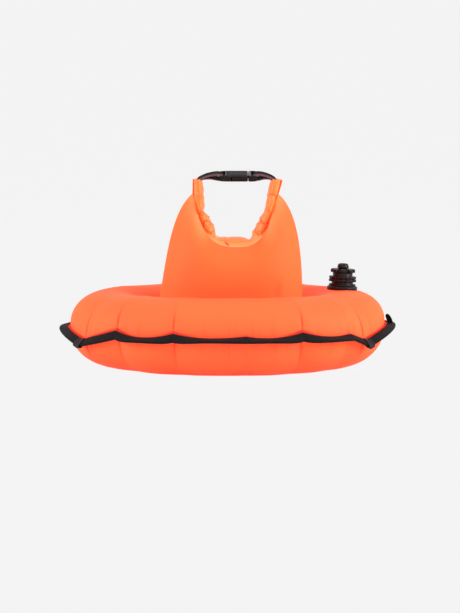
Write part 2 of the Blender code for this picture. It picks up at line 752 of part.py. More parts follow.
def buckle(finishes, frame):
    """Side-release buckle: socket, plug and two sprung arms, along X from the socket's bar."""
    half_y, half_z = BUCKLE_WIDTH / 2, BUCKLE_THICKNESS / 2
    split = SOCKET_LENGTH
    socket = place(plate("buckle_socket", buckle_outline(0, split - GAP / 2, "start"), -half_z, half_z),
                   "buckle_socket", finishes["plastic"], frame)
    bevel(socket, BUCKLE_ROUND, 2)
    body = BAR_WIDTH + SLOT_WIDTH
    hollow_y, hollow_z = half_y - BUCKLE_WALL, half_z - BUCKLE_WALL
    hollow = block("socket_hollow", (body + SOCKET_END_WALL, -hollow_y, -hollow_z),
                   (split + OVERRUN, hollow_y, hollow_z))
    cut(socket, cutter(hollow, "socket_hollow", frame))
    window_end = split - WINDOW_FROM_MOUTH
    window = block("socket_windows", (window_end - WINDOW_LENGTH, -half_y - OVERRUN, -WINDOW_HEIGHT / 2),
                   (window_end, half_y + OVERRUN, WINDOW_HEIGHT / 2))
    cut(socket, cutter(window, "socket_windows", frame))
    slot = block("socket_slot", (BAR_WIDTH, -SLOT_LENGTH / 2, -half_z - OVERRUN),
                 (body, SLOT_LENGTH / 2, half_z + OVERRUN))
    cut(socket, cutter(slot, "socket_slot", frame))
    for side in (-1, 1):
        low, high = sorted((side * BAR_THICKNESS / 2, side * (half_z + OVERRUN)))
        thin = block("socket_bar_relief", (-OVERRUN, -SLOT_LENGTH / 2, low),
                     (BAR_WIDTH + OVERRUN, SLOT_LENGTH / 2, high))
        cut(socket, cutter(thin, "socket_bar_relief", frame))

    end = split + PLUG_LENGTH
    plug = place(plate("buckle_plug", buckle_outline(split + GAP / 2, end, "end"), -half_z, half_z),
                 "buckle_plug", finishes["plastic"], frame)
    bevel(plug, BUCKLE_ROUND, 2)
    slot = block("plug_slot", (end - BAR_WIDTH - SLOT_WIDTH, -SLOT_LENGTH / 2, -half_z - OVERRUN),
                 (end - BAR_WIDTH, SLOT_LENGTH / 2, half_z + OVERRUN))
    cut(plug, cutter(slot, "plug_slot", frame))
    for side in (-1, 1):
        low, high = sorted((side * BAR_THICKNESS / 2, side * (half_z + OVERRUN)))
        thin = block("plug_bar_relief", (end - BAR_WIDTH - OVERRUN, -SLOT_LENGTH / 2, low),
                     (end + OVERRUN, SLOT_LENGTH / 2, high))
        cut(plug, cutter(thin, "plug_bar_relief", frame))
    tongue = block("plug_tongue", (split - TONGUE_LENGTH, -TONGUE_WIDTH / 2, -TONGUE_THICKNESS / 2),
                   (split + PLUG_LENGTH - BAR_WIDTH - SLOT_WIDTH - GAP, TONGUE_WIDTH / 2,
                    TONGUE_THICKNESS / 2))
    cut(plug, cutter(tongue, "plug_tongue", frame), "UNION")

    for name, side in (("latch_arm_front", -1), ("latch_arm_back", 1)):
        hinge = guide(name + "_root", Matrix.Translation((split, side * ARM_PLACE, 0)), frame)
        mesh = plate(name, side_arm(side), -ARM_HEIGHT / 2, ARM_HEIGHT / 2)
        mesh.transform(Matrix.Translation((-split, -side * ARM_PLACE, 0)))
        place(mesh, name, finishes["plastic"], hinge)


def valve_levels():
    """Heights of the valve's stack above the flange's seat."""
    neck = NECK_HEIGHT
    disc = neck + GAP
    top = disc + DISC_THICKNESS
    shoulder = top + UPPER_NECK_HEIGHT
    collar = shoulder + GAP
    crown = collar + COLLAR_THICKNESS
    return {"neck": neck, "disc": disc, "top": top, "shoulder": shoulder, "collar": collar,
            "crown": crown}


def valve(finishes, axis):
    """The valve's stack, turned about its own axis."""
    level = valve_levels()
    plastic, rubber = finishes["plastic"], finishes["rubber"]
    spigot = BORE_RADIUS + SPIGOT_WALL
    gasket_low = level["neck"] - GASKET_SINK
    turned("valve_base",
           [(BORE_RADIUS, gasket_low - GAP), (NECK_RADIUS - SPIGOT_WALL, gasket_low - GAP),
            (NECK_RADIUS - SPIGOT_WALL, level["neck"]), (NECK_RADIUS, level["neck"]),
            (NECK_RADIUS, CONE_HEIGHT), (FLANGE_RADIUS - FLANGE_RIM, FLANGE_RIM + GAP),
            (FLANGE_RADIUS, FLANGE_RIM), (FLANGE_RADIUS, GAP), (spigot, GAP),
            (spigot, -SPIGOT_LENGTH), (BORE_RADIUS, -SPIGOT_LENGTH)], plastic, axis)
    turned("valve_gasket",
           [(BORE_RADIUS + GAP, level["disc"] - GAP), (NECK_RADIUS - SPIGOT_WALL - GAP, level["disc"] - GAP),
            (NECK_RADIUS - SPIGOT_WALL - GAP, gasket_low), (BORE_RADIUS + GAP, gasket_low)], rubber, axis)
    stem = BORE_RADIUS - STEM_CLEARANCE
    groove_low = level["shoulder"] - ORING_DEPTH
    groove_high = groove_low + ORING_WIDTH + GAP * 2
    groove = AIR_BORE_RADIUS + ORING_THICKNESS
    rim, grip = lugged_rim(DISC_GRIPS, DISC_RADIUS, GRIP_DEPTH)
    rimmed("valve_insert", rim,
           [(AIR_BORE_RADIUS, level["shoulder"]), (UPPER_NECK_RADIUS, level["shoulder"]),
            (UPPER_NECK_RADIUS, level["top"]), (grip - GRIP_CHAMFER, level["top"]),
            (grip, level["top"] - GRIP_CHAMFER), (grip, level["disc"] + DISC_TAPER),
            (grip - DISC_TAPER, level["disc"]), (stem, level["disc"]), (stem, -STEM_LENGTH),
            (AIR_BORE_RADIUS, -STEM_LENGTH), (AIR_BORE_RADIUS, groove_low),
            (groove, groove_low), (groove, groove_high), (AIR_BORE_RADIUS, groove_high)],
           plastic, axis)
    turned("valve_oring",
           [(TUBE_RADIUS + GAP, groove_high - GAP), (groove - GAP, groove_high - GAP),
            (groove - GAP, groove_low + GAP), (TUBE_RADIUS + GAP, groove_low + GAP)], rubber, axis)
    rim, lug = lugged_rim(COLLAR_LUGS, COLLAR_RADIUS, COLLAR_LUG_DEPTH)
    bore = TUBE_RADIUS + GAP
    rimmed("valve_collar", rim, [(lug, level["collar"]), (lug, level["crown"]), (bore, level["crown"]),
                                 (bore, level["collar"])], plastic, axis)
    dome_base = level["crown"] + GAP
    bore = TUBE_RADIUS - TUBE_WALL
    lip_angle = math.acos((bore + DOME_LIP) / DOME_RADIUS)
    dome = [(bore, dome_base + DOME_HEIGHT)]
    for angle in np.linspace(lip_angle, 0, DOME_POINTS):
        height = DOME_HEIGHT * math.sin(angle) / math.sin(lip_angle)
        dome.append((DOME_RADIUS * math.cos(angle), dome_base + height))
    turned("valve_mouthpiece",
           dome + [(TUBE_RADIUS, dome_base), (TUBE_RADIUS, groove_low - TUBE_REACH),
                   (bore, groove_low - TUBE_REACH)], plastic, axis, steps=TUBE_STEPS)
    flap_top = -STEM_LENGTH - FLAP_SEAT
    turned("valve_flap",
           [(0, flap_top), (FLAP_RADIUS, flap_top), (FLAP_RADIUS, flap_top - FLAP_THICKNESS),
            (0, flap_top - FLAP_THICKNESS)], rubber, axis, steps=TUBE_STEPS, closed=False)


def lugged_rim(lugs, radius, depth):
    """Directions round a rim, and its radius in each: full on a lug, less by the depth in a notch."""
    steps = lugs * RIM_POINTS
    count = np.arange(steps)
    turn = (count + 1 / 2) * 2 * math.pi / steps
    on_lug = count % RIM_POINTS < RIM_POINTS / 2
    return np.column_stack([np.cos(turn), np.sin(turn)]), np.where(on_lug, radius, radius - depth)


def rimmed(name, rim, profile, finish, parent):
    """A turned piece whose closed profile of (radius, height) may vary in radius round the rim."""
    loops = []
    for radius, height in profile:
        flat = rim * np.broadcast_to(radius, len(rim))[:, None]
        loops.append(np.column_stack([flat, np.full(len(rim), height)]))
    piece = place(point_out(lofted(name, loops, close_rows=True)), name, finish, parent)
    smooth(piece, 40)


def build():
    """Make every piece of the buoy."""
    clear_scene()
    finishes = {name: material(name, *look) for name, look in FINISHES.items()}
    axis = guide("valve_axis", valve_datum())
    ring_panels(finishes, axis)
    edge_binding(finishes)
    leash_loop(finishes)
    bag_wall(finishes)
    bag_floor(finishes)
    roll_collar(finishes)
    mouth_stiffener(finishes)
    tilt = Matrix.Translation((0, 0, MOUTH_TIP)) @ Matrix.Rotation(HANDLE_TILT, 4, "X")
    handle = guide("handle_datum", tilt)
    webbing(finishes, handle)
    start = BUCKLE_MIDDLE - (SOCKET_LENGTH + PLUG_LENGTH) / 2
    frame = guide("buckle_axis", Matrix.Translation((start, 0, BUCKLE_RISE)), handle)
    buckle(finishes, frame)
    valve(finishes, axis)


build()
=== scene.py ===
"""Looks of an open water swim buoy: coated nylon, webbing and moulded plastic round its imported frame.

Metres, in the frame's own axes: +Z up, the viewer's side is -Y, the origin on the ground under the ring.
"""

import json
import math

import bmesh
import bpy
import numpy as np
from mathutils import Matrix, Vector


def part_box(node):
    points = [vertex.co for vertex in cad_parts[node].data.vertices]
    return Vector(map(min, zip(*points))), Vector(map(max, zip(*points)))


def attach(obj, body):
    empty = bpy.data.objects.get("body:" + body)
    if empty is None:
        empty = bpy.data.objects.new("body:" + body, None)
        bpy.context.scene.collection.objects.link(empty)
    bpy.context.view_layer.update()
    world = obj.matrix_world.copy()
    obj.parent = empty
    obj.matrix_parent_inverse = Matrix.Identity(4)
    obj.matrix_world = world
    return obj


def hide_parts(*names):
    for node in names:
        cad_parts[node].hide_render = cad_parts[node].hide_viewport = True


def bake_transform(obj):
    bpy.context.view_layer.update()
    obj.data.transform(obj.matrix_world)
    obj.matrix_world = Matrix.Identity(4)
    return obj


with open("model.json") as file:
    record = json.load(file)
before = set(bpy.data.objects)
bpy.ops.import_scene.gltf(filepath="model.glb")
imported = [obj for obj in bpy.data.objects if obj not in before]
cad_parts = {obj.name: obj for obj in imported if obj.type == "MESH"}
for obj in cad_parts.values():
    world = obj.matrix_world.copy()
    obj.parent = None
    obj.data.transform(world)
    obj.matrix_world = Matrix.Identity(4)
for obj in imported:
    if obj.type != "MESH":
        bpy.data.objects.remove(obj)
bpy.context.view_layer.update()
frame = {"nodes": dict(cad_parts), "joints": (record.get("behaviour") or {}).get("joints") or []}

FULL_TURN = 2 * math.pi

# Inflated ring, as the frame has it
RING_LENGTH = 0.414
RING_WIDTH = 0.316
TUBE_WIDTH = 0.108
TUBE_HEIGHT = 0.0995
SEAM_HEIGHT = 0.0555
GROUND_PRESS = 0.0006
PLAN_POWER = 2.2
SECTION_POWER = 2.25
LOWER_POWER = 2.0
END_RISE = 0.0045
END_RISE_POWER = 2.5
SKIN = 0.0006
SEAM_GAP = 0.0003
CURVE_SAMPLES = 4800
PLACE_SAMPLES = 2000
RING_STEPS = 2400
RING_SPARSE = 4  # away from the creases, one step in so many is kept
RING_ARCS = 44
FLANGE_ROWS = 4

# The outer seam's course: x, height, droop in degrees, and 1 where it comes to a point. Each half of it
# starts at a share of the way round the ring.
BACK_HALF = 0
FRONT_HALF = 0.5
FRONT_COURSE = (
    (-0.207, 0.0530, 8, 0), (-0.1855, 0.0445, 40, 1), (-0.1425, 0.0625, 68, 1), (-0.110, 0.0522, 16, 0),
    (-0.0695, 0.0616, 66, 1), (-0.022, 0.0526, 10, 0), (0.024, 0.0562, 30, 1), (0.052, 0.0526, 12, 0),
    (0.0967, 0.0626, 70, 1), (0.139, 0.0520, 16, 0), (0.1575, 0.0546, 30, 1), (0.1775, 0.0450, 40, 1),
    (0.207, 0.0568, 8, 0),
)
BACK_COURSE = (
    (0.207, 0.0568, 8, 0), (0.183, 0.0560, 40, 1), (0.150, 0.0525, 20, 0), (0.108, 0.0612, 66, 1),
    (0.060, 0.0522, 16, 0), (0.014, 0.0600, 62, 1), (-0.036, 0.0522, 16, 0), (-0.088, 0.0612, 66, 1),
    (-0.132, 0.0525, 20, 0), (-0.170, 0.0590, 56, 1), (-0.207, 0.0530, 8, 0),
)
CREASE_DEPTH = 0.0030
CREASE_WIDTH = 0.0016
CREASE_SPREAD = 0.0030
CREASE_CLOSE = 0.009
CREASE_FULL = 0.0065  # the rise or fall of the seam that gives a full crease
# Width, as a share of the crease's, and reach round the section of the painted shade along each crease
PAINTED_CREASE_LINE_SHARE = 0.5
CREASE_REACH = math.radians(36)
PAINTED_CREASE_LINE_REACH = math.radians(30)
# Painted shade: how far round the section it reaches beside the tape, and how dark it is in each crease
# and in the wrinkles' hollows
PAINTED_SEAM_SHADE_REACH = math.radians(1.3)
PAINTED_CREASE_SHADE = 0.85
PAINTED_WRINKLE_SHADE = 0.30
CREASE_START = math.radians(5)
PILLOW_RISE = 0.0012
PILLOW_LENGTH = 0.020
PILLOW_POWER = 0.7
WRINKLES = 190
UPPER_SEED = 11
LOWER_SEED = 23
WRINKLE_HEIGHT = 0.00045
WRINKLE_SHARES = (-1, 0.6)  # the least and the most of it
WRINKLE_WIDTHS = (0.0012, 0.0030)
WRINKLE_REACHES = (0.12, 0.5)  # round the section, in radians
COURSE_FADE_POWER = 6
LOWER_FADE_POWER = 11
ARC_POWER = 1.25  # the section's points lie closer together near the seam
RELIEF_LIFT = 0.5

# Tape over the seam
FLANGE_WIDTH = 0.0128
TAPE_WIDTH = 0.0098
TAPE_THICKNESS = 0.0008
TAPE_CLEARANCE = 0.00045
TAPE_STEPS = 1000
TAPE_TURN_POINTS = 9
TAPE_SIDE_POINTS = 3
TAB_STEPS = 2000
TAB_PLACES = (-0.1855, 0.1775)
TAB_LENGTH = 0.0105
TAB_PROUD = 0.0012

# Webbing's section
RIBBON_POINTS = 28
SELVEDGE_POWER = 6.0
# How steeply the painted brown reflection rises across the near half of the webbing
NEAR_STEEPNESS = 5
SPAN_SAMPLES = 24

# Leash loop
LEASH_WEB_WIDTH = 0.012
LEASH_WEB_THICKNESS = 0.0033  # the strap is doubled
LEASH_HALF_LENGTH = 0.0058
LEASH_HALF_GAP = 0.0017
LEASH_KNOB = 0.04
LEASH_KNOB_POWER = 3
LEASH_LEAN = math.radians(118)
LEASH_IN = 0.0014  # how far inwards of the frame's loop its middle is
LEASH_HEIGHT = 0.0622
LEASH_TURN_SHARE = 0.97
LEASH_STEPS = 70

# Dry bag
MOUTH_MIDDLE = 0.012
MOUTH_HALF = 0.051
MOUTH_DEPTH = 0.083
MOUTH_TIP = 0.2474
MOUTH_POWER = 2.6
LEFT_LEAN = 0.0025
RIGHT_LEAN = 0.011
LEAN_FOOT_POWER = 4
PATH_STEP = math.radians(0.5)
PANEL_REACH = math.radians(82)
PANEL_HALF = 0.003
PANEL_FRONT = 0.0166  # how far forward the panels reach the roll at the bottom of the U
PANEL_CLEARANCE = 0.0006
SIDE_FOLD_CLEARANCE = 0.0015
TUCK = 0.0034  # how far up the roll's face the panels' edge runs there
LIP = 0.0042  # radius of the edge's curl into the roll
LIP_BENDS = (12, 24, 36, 48, 60, 75, 90)
EAR_TUCK = 0.0012  # how far their edge runs into the roll at its ends
ARM_TUCK = 0.0018  # and how much further on the arms of the U
ARM_FORWARD = 0.0095
ARM_START = 0.35
FRONT_START = math.cos(math.radians(50))
FRONT_FULL = math.cos(math.radians(24))
BAG_BELLY = 0.010
SHOULDER_POWER = 5
ROW_POWER = 1.5
BAG_RISE = 0.185
BAG_ARRIVE = 0.120
BAG_UPRIGHT_SHARE = 0.8
BAG_LEAN = 0.26
SIDE_BULGES = (0.0042, 0.0045)
SIDE_STEEPNESS = 9  # how soon the two panels part beside the side folds
FOLD_STEEPNESS = 3
LIP_LEAST_SHARE = 0.1
# Painted shade: a deeper red along the panels' edge by the roll on the arms of the U (its reach in rows
# and its depth), and a painted dark crease line on the lip, with no relief under it
PAINTED_EDGE_SHADE_WIDTH = 0.008
PAINTED_EDGE_SHADE = 0.6
PAINTED_LIP_CREASE = (0.0013, 0.1606, 0.1695)  # x at its foot, and the heights it runs between
PAINTED_LIP_CREASE_LEAN = -0.79
PAINTED_LIP_CREASE_WIDTH = 0.0016
# Painted highlight: paler cloth and glow below the ridge and on the lip at the bottom of the U, a paler
# line at the ridge, beside the arms of the U, and on the roll's bottom
RIDGE_PAINTED_HIGHLIGHT = 0.50  # how pale the cloth is above the ridge, and beside the arms of the U
RIDGE_PAINTED_HIGHLIGHT_LINE = 0.009
RIDGE_PAINTED_HIGHLIGHT_WIDTH = 0.012
SIDE_PAINTED_HIGHLIGHT = 0.36
SIDE_PAINTED_HIGHLIGHT_WIDTH = 0.20
ROLL_PAINTED_HIGHLIGHT = 0.18
BAG_STEPS = 360
BAG_ROWS = 110
FLOOR_DROP = 0.0035
FLOOR_SAG = 0.0022
FLOOR_POINTS = 240
FLOOR_ROWS = 24
FLOOR_EYE_SHARE = 0.02

# Rolled mouth
ROLL_THICKNESS = 0.015
ROLL_TURNS = 2
ROLL_PITCH = 0.0021
ROLL_FOLD = 0.0016
ROLL_CORE = 0.0098
ROLL_STEPS = 420
ROLL_TURN_STEPS = 48
PLEAT_EDGE = 0.18  # how soft a pleat's steep side is, as a share of its width
# The pleat height that gives full painted shade on its steep side
PLEAT_FULL_SHADE = 0.0036
PLEAT_LEAN = 0.035  # how far a pleat of slant 1 leans, as a share of the way
PLEAT_EDGE_SHARE = 0.3  # how much of a pleat is left on the roll's two narrow edges
ROLL_SMOOTH = 9
ROLL_TAPER = 0.34  # how much narrower the roll is at its top, at the bottom of the U

# Webbing and buckle
WEB_WIDTH = 0.020
WEB_THICKNESS = 0.0013
WEB_ROOT = 0.006
WEB_OVER = ((0.01, -0.0008), (0.27, 0.0037), (0.55, 0.0064), (0.82, 0.0077))
WEB_UNDER = ((0.82, 0.0012), (0.58, 0.0026), (0.30, 0.0024), (0.13, 0.0006), (0.07, -0.0045))
WEB_STEPS = 110
# Painted reflection: from this share on, over the soft start below, the strap is painted brown
WEB_UNDER_START = 0.56  # the share of its length after which the strap runs back under
WEB_UNDER_SOFT = 0.05
BAR_ROOM = 1.4  # how far the strap stands off above the bar, in its own clearances
BAR_POINTS = 7
BUCKLE_MIDDLE = 0.014
BUCKLE_RISE = 0.0040
BAR_WIDTH = 0.0035
BAR_THICKNESS = 0.0040
SOCKET_LENGTH = 0.038
PLUG_LENGTH = 0.0118
BUCKLE_WIDTH = 0.025
BUCKLE_THICKNESS = 0.0085
HANDLE_TILT = math.radians(12)
RIDGE_PLACES = (-0.66, -0.33, 0, 0.33, 0.66)
RIDGE_BACK = 0.0099  # from the socket's middle to the ridges' ends
RIDGE_FRONT = 0.0176
RIDGE_WIDTH = 0.0016
RIDGE_THICKNESS = 0.0012
RIDGE_SINK = 0.0001
RIDGE_STEPS = 12

# Valve
SEAT_PRESS_REACH = 0.034
SEAT_PRESS_SOFT = 0.010
SEAT_BORE_DEPTH = 0.008
SEAT_BORE_RADIUS = 0.0140
CORNER_SHARE = 0.45  # the most that a rounded corner takes of the edges beside it
CORNER_POINTS = 3
NOTCH_STEEPNESS = 6
NOTCHED_STEPS = 160
TURNED_STEPS = 72
TURNED_SHARP = math.radians(38)
FRAME_SHARP = math.radians(35)

# Notches: how many, turned by, their share of the turn and of the radius, and the radius they start at
GRIP_NOTCHES = (18, 0, 0.34, 0.05, 0.0160)
LUG_NOTCHES = (8, math.pi / 8, 0.42, 0.20, 0.0130)

# The valve's turned pieces: name, body, frame node, notches, corner radius and profile
VALVE_PIECES = (
    ("valve_seat", "float", "valve_base", None, 0.0005, (
        (0.0110, 0.0099), (0.01305, 0.0099), (0.01305, 0.0110), (0.01425, 0.0110), (0.01425, 0.0082),
        (0.0178, 0.0080), (0.0178, 0.0058), (0.0170, 0.0055), (0.0192, 0.0052), (0.0200, 0.0044),
        (0.0200, 0.0003), (0.0122, 0.0003), (0.0122, -0.0060), (0.0110, -0.0060))),
    ("grip_disc", "insert", "valve_insert", GRIP_NOTCHES, 0.00045, (
        (0.0058, 0.0229), (0.01315, 0.0229), (0.01315, 0.0181), (0.01800, 0.0181), (0.01800, 0.0157),
        (0.01690, 0.0153), (0.01690, 0.0146), (0.01815, 0.0142), (0.01815, 0.0113), (0.01065, 0.0113),
        (0.01065, -0.0100), (0.0058, -0.0100), (0.0058, 0.0202), (0.0067, 0.0202), (0.0067, 0.0217),
        (0.0058, 0.0217))),
    ("twist_ring", "collar", "valve_collar", LUG_NOTCHES, 0.0005, (
        (0.0055, 0.0283), (0.0135, 0.0283), (0.0162, 0.0274), (0.0162, 0.0236), (0.0135, 0.0232),
        (0.0055, 0.0232))),
    ("mouthpiece_cap", "mouthpiece", "valve_mouthpiece", None, 0.0006, (
        (0.0039, 0.0349), (0.0046, 0.0353), (0.0060, 0.0347), (0.0070, 0.0334), (0.0075, 0.0316),
        (0.0076, 0.0298), (0.0070, 0.0290), (0.0052, 0.0289), (0.0052, 0.0102), (0.0039, 0.0102))),
)

# Cloth and webbing
# Emission strength of the orange cloth: a painted glow that stands for fluorescence and lights its shade
# too
PAINTED_GLOW = 0.57
WEAVE_SPACING = 0.00042
RIB_SPACING = 0.0011
ROW_SPACING = 0.0013
CORD_SPACING = 0.00125
ZIGZAG_SPACING = 0.0050
ZIGZAG_REACH = 2.2

# Camera and stage
PIXEL = 0.00132  # metres at the object for each pixel of the photograph
VIEW_HEIGHT_PIXELS = 613
CAMERA_DISTANCE = 6.0
CAMERA_RISE = math.radians(5.8)
CAMERA_AIM = (0.0033, 0.0, 0.0789)
CAMERA_REACH = 200
SENSOR = 36.0
LIGHT_AIM = (0, 0, 0.10)
LAMPS = (  # name, place, watts, width
    ("overhead_softbox", (-0.1, 0.1, 1.9), 6.5, 1.6),
    ("back_softbox", (0.0, 1.6, 1.4), 4.0, 1.4),
    ("front_softbox", (0.3, -2.4, 1.0), 5.8, 1.4),
    ("left_softbox", (-2.0, -0.7, 1.0), 34.0, 1.2),
    ("right_softbox", (2.0, -0.7, 1.0), 43.0, 1.2),
)
AMBIENT = 0.08
BACKDROP = (0.908, 0.908, 0.908, 1)
PAPER = (0.86, 0.86, 0.86, 1)
PAPER_GLOW_SHARE = 0.985
FLOOR_SIZE = 90


class Wire:
    """One socket of a node tree. Sums on it add the tree's Math nodes."""

    def __init__(self, tree, socket):
        self.tree = tree
        self.socket = socket

    def _math(self, operation, *values):
        return self.tree.node("ShaderNodeMath", {"operation": operation}, dict(enumerate(values)))

    def __add__(self, other):
        return self._math("ADD", self, other)

    __radd__ = __add__

    def __mul__(self, other):
        return self._math("MULTIPLY", self, other)

    __rmul__ = __mul__

    def __pow__(self, power):
        return self._math("POWER", self, power)

    def wave(self):
        """The sine of this value."""
        return self._math("SINE", self)

    def angle(self):
        """The angle whose sine this value is."""
        return self._math("ARCSINE", self)

    def most(self, other):
        """The larger of the two."""
        return self._math("MAXIMUM", self, other)


class Tree:
    """The node tree of a world or a material, built up node by node in place of its first node."""

    def __init__(self, owner, first=None):
        owner.use_nodes = True
        self.nodes = owner.node_tree.nodes
        self.links = owner.node_tree.links
        if first:
            self.nodes.remove(self.nodes[first])

    def node(self, kind, settings=None, values=None, output=0):
        """Add a node: its settings first, then the values or wires of its sockets."""
        made = self.nodes.new(kind)
        for label, value in (settings or {}).items():
            setattr(made, label, value)
        for label, value in (values or {}).items():
            if isinstance(value, Wire):
                self.links.new(value.socket, made.inputs[label])
            else:
                made.inputs[label].default_value = value
        return Wire(self, made.outputs[output])

    def seen_rays(self):
        """1 for the rays that show the backdrop: camera, glossy and transmission rays."""
        seen = self.node("ShaderNodeLightPath", output="Is Camera Ray")
        rays = seen.socket.node.outputs
        return seen.most(Wire(self, rays["Is Glossy Ray"])).most(Wire(self, rays["Is Transmission Ray"]))

    def shade(self, output, share, first, second):
        """End in the first shader, and in the second by this share."""
        both = self.node("ShaderNodeMixShader", values={0: share, 1: first, 2: second})
        self.links.new(both.socket, self.nodes[output].inputs["Surface"])


class Finish(Tree):
    """A Principled material, with its own shader kept."""

    def __init__(self, name, **plain):
        self.material = bpy.data.materials.new(name)
        super().__init__(self.material)
        self.shader = self.nodes["Principled BSDF"]
        self.place = self.node("ShaderNodeTexCoord", output="Object")
        for label, value in plain.items():
            self.shader.inputs[label.replace("_", " ")].default_value = value

    def fed(self, **wires):
        """The material, with a wire led to each of these sockets of its shader."""
        for label, wire in wires.items():
            self.links.new(wire.socket, self.shader.inputs[label.replace("_", " ")])
        return self.material

    def mark(self, label):
        """One of the marks on the mesh, 0 to 1."""
        return self.node("ShaderNodeAttribute", {"attribute_name": label}, output="Fac")

    def along_and_across(self):
        """The piece's own UV map, in metres along it and across it."""
        uv = self.node("ShaderNodeUVMap", {"uv_map": "cloth"})
        parts = self.node("ShaderNodeSeparateXYZ", values={0: uv})
        return parts, Wire(self, parts.socket.node.outputs[1])

    def noise(self, scale, detail=2.0, roughness=0.5):
        """Even noise about 0.5, in the object's own metres."""
        return self.node("ShaderNodeTexNoise", values={
            "Vector": self.place, "Scale": scale, "Detail": detail, "Roughness": roughness}, output="Fac")

    def mix(self, share, first, second):
        """From the first colour to the second."""
        return self.node("ShaderNodeMix", {"data_type": "RGBA"}, {0: share, 6: first, 7: second}, 2)

    def bump(self, height, distance, strength=1.0, normal=None):
        """A normal bent by a height of 0 to 1 over this distance."""
        values = {"Strength": strength, "Distance": distance, "Height": height}
        if normal is not None:
            values["Normal"] = normal
        return self.node("ShaderNodeBump", values=values)


def coated_nylon(name, bright, deep, gloss, shine):
    """Orange coated nylon: a plain weave under the coating, faint mottling, and a painted glow: emission
    that stands for its fluorescence and lights the cloth in its own shade too.

    The fold attribute, 0 to 1, is painted shade: it makes the cloth and its glow a deeper red where shade
    falls in creases and crevices. The second attribute is a painted highlight, which makes the cloth and
    its glow paler below the ridge under the roll and beside the arms of the U.

    The weave is the product of two sines, one along the cloth and one across it, each lifted by the
    other's sign, so that threads pass over and under. Long noise stands for the cloth's small dents.
    """
    finish = Finish(name, Specular_IOR_Level=shine, Emission_Strength=PAINTED_GLOW)
    along, across = finish.along_and_across()
    broad = finish.noise(14.0)
    fine = finish.noise(900.0)
    # Painted light: the fold mark paints shade, and the other mark paints a highlight on the cloth and
    # its glow
    fold, crest = finish.mark("fold"), finish.mark("crest")
    cloth = finish.mix(crest, finish.mix(broad * 0.5 + 0.25, bright, deep), (1.0, 0.55, 0.20, 1))
    glow = finish.mix(broad, (1.0, 0.030, 0.022, 1), (1.0, 0.015, 0.022, 1))
    glow = finish.mix(crest, glow, (1.0, 0.20, 0.075, 1))
    turns = FULL_TURN / WEAVE_SPACING
    threads = (along * turns).wave() * (across * turns).wave()
    soft = finish.bump(finish.noise(120.0, 3.0), 0.0012, 0.28)
    return finish.fed(
        # Painted shade: base and glow turn a deeper red where the fold mark is
        Base_Color=finish.mix(fold, cloth, (0.62, 0.045, 0.020, 1)),
        Emission_Color=finish.mix(fold, glow, (0.52, 0.006, 0.012, 1)),
        Roughness=fine * 0.14 + broad * 0.10 + gloss,
        Normal=finish.bump(threads * 0.5 + 0.5, 0.00006, 0.5, soft))


def ribbed_tape(name, dark, light):
    """Black grosgrain tape: ribs across its width, with fuzz and worn patches."""
    finish = Finish(name, Specular_IOR_Level=0.12)
    along = finish.along_and_across()[0]
    ribs = (along * (FULL_TURN / RIB_SPACING)).wave() * 0.5 + 0.5
    fuzz = finish.noise(1500.0)
    broad = finish.noise(60.0, 3.0)
    return finish.fed(
        Base_Color=finish.mix(ribs * 0.25 + fuzz * 0.4 + broad * 0.25, dark, light),
        Roughness=0.62 + fuzz * 0.25,
        Normal=finish.bump(ribs + fuzz * 0.3, 0.00022, 0.8))


def black_webbing():
    """Black polyester webbing: slanting rows that change direction across the width, as a herringbone.

    Where its fold attribute is 1, along its near edge and on the strand under it, it is painted brown: a
    painted reflection of the orange bag.
    """
    finish = Finish("black_webbing", Specular_IOR_Level=0.03)
    along, across = finish.along_and_across()
    zigzag = (across * (FULL_TURN / ZIGZAG_SPACING)).wave().angle()
    rows = (along * (FULL_TURN / ROW_SPACING) + zigzag * ZIGZAG_REACH).wave() * 0.5 + 0.5
    cords = (across * (FULL_TURN / CORD_SPACING)).wave() * 0.5 + 0.5
    fuzz = finish.noise(1700.0)
    black = finish.mix(rows * 0.35 + fuzz * 0.5, (0.004, 0.003, 0.0035, 1), (0.017, 0.012, 0.013, 1))
    return finish.fed(
        # Painted reflection: brown where the fold mark is
        Base_Color=finish.mix(finish.mark("fold"), black, (0.190, 0.088, 0.098, 1)),
        Roughness=0.55 + fuzz * 0.25,
        Normal=finish.bump(rows * 0.7 + cords * 0.3, 0.00022, 0.8))


def moulded_plastic(name, roughness, shine, black_and_painted_reflection):
    """Black moulded plastic: a faint grain, with paler rubbed patches. Its colour is the plastic's own
    black with a painted red cast, and its pink specular colour is a painted reflection of the orange bag.
    """
    finish = Finish(name, Specular_IOR_Level=shine, Specular_Tint=(1.0, 0.74, 0.77, 1),
                    Coat_Roughness=0.15)
    grain = finish.noise(2600.0)
    patches = finish.noise(90.0, 4.0, 0.6)
    rubbed = tuple(c * 3 for c in black_and_painted_reflection[:3]) + (1,)
    return finish.fed(
        Base_Color=finish.mix(patches ** 3.0, black_and_painted_reflection, rubbed),
        Roughness=grain * 0.10 + patches * 0.16 + roughness,
        Coat_Weight=patches * 0.25,
        Normal=finish.bump(grain, 0.00003, 0.35))


def seal_rubber():
    """Dark grey rubber, dusty in patches."""
    finish = Finish("seal_rubber", Specular_IOR_Level=0.3)
    dust = finish.noise(240.0, 4.0, 0.6)
    return finish.fed(
        Base_Color=finish.mix(dust * 0.6, (0.040, 0.040, 0.043, 1), (0.085, 0.083, 0.080, 1)),
        Roughness=dust * 0.2 + 0.62,
        Normal=finish.bump(dust, 0.00004, 0.4))


def white_strip():
    """White plastic strip, drawn in long faint lines."""
    finish = Finish("stiffener_plastic", Specular_IOR_Level=0.4)
    lines = finish.noise(300.0)
    return finish.fed(
        Base_Color=finish.mix(lines, (0.70, 0.70, 0.67, 1), (0.80, 0.80, 0.77, 1)),
        Roughness=lines * 0.15 + 0.42)


def placed(name, data):
    """A new object of this mesh, lamp or camera."""
    obj = bpy.data.objects.new(name, data)
    bpy.context.scene.collection.objects.link(obj)
    return obj


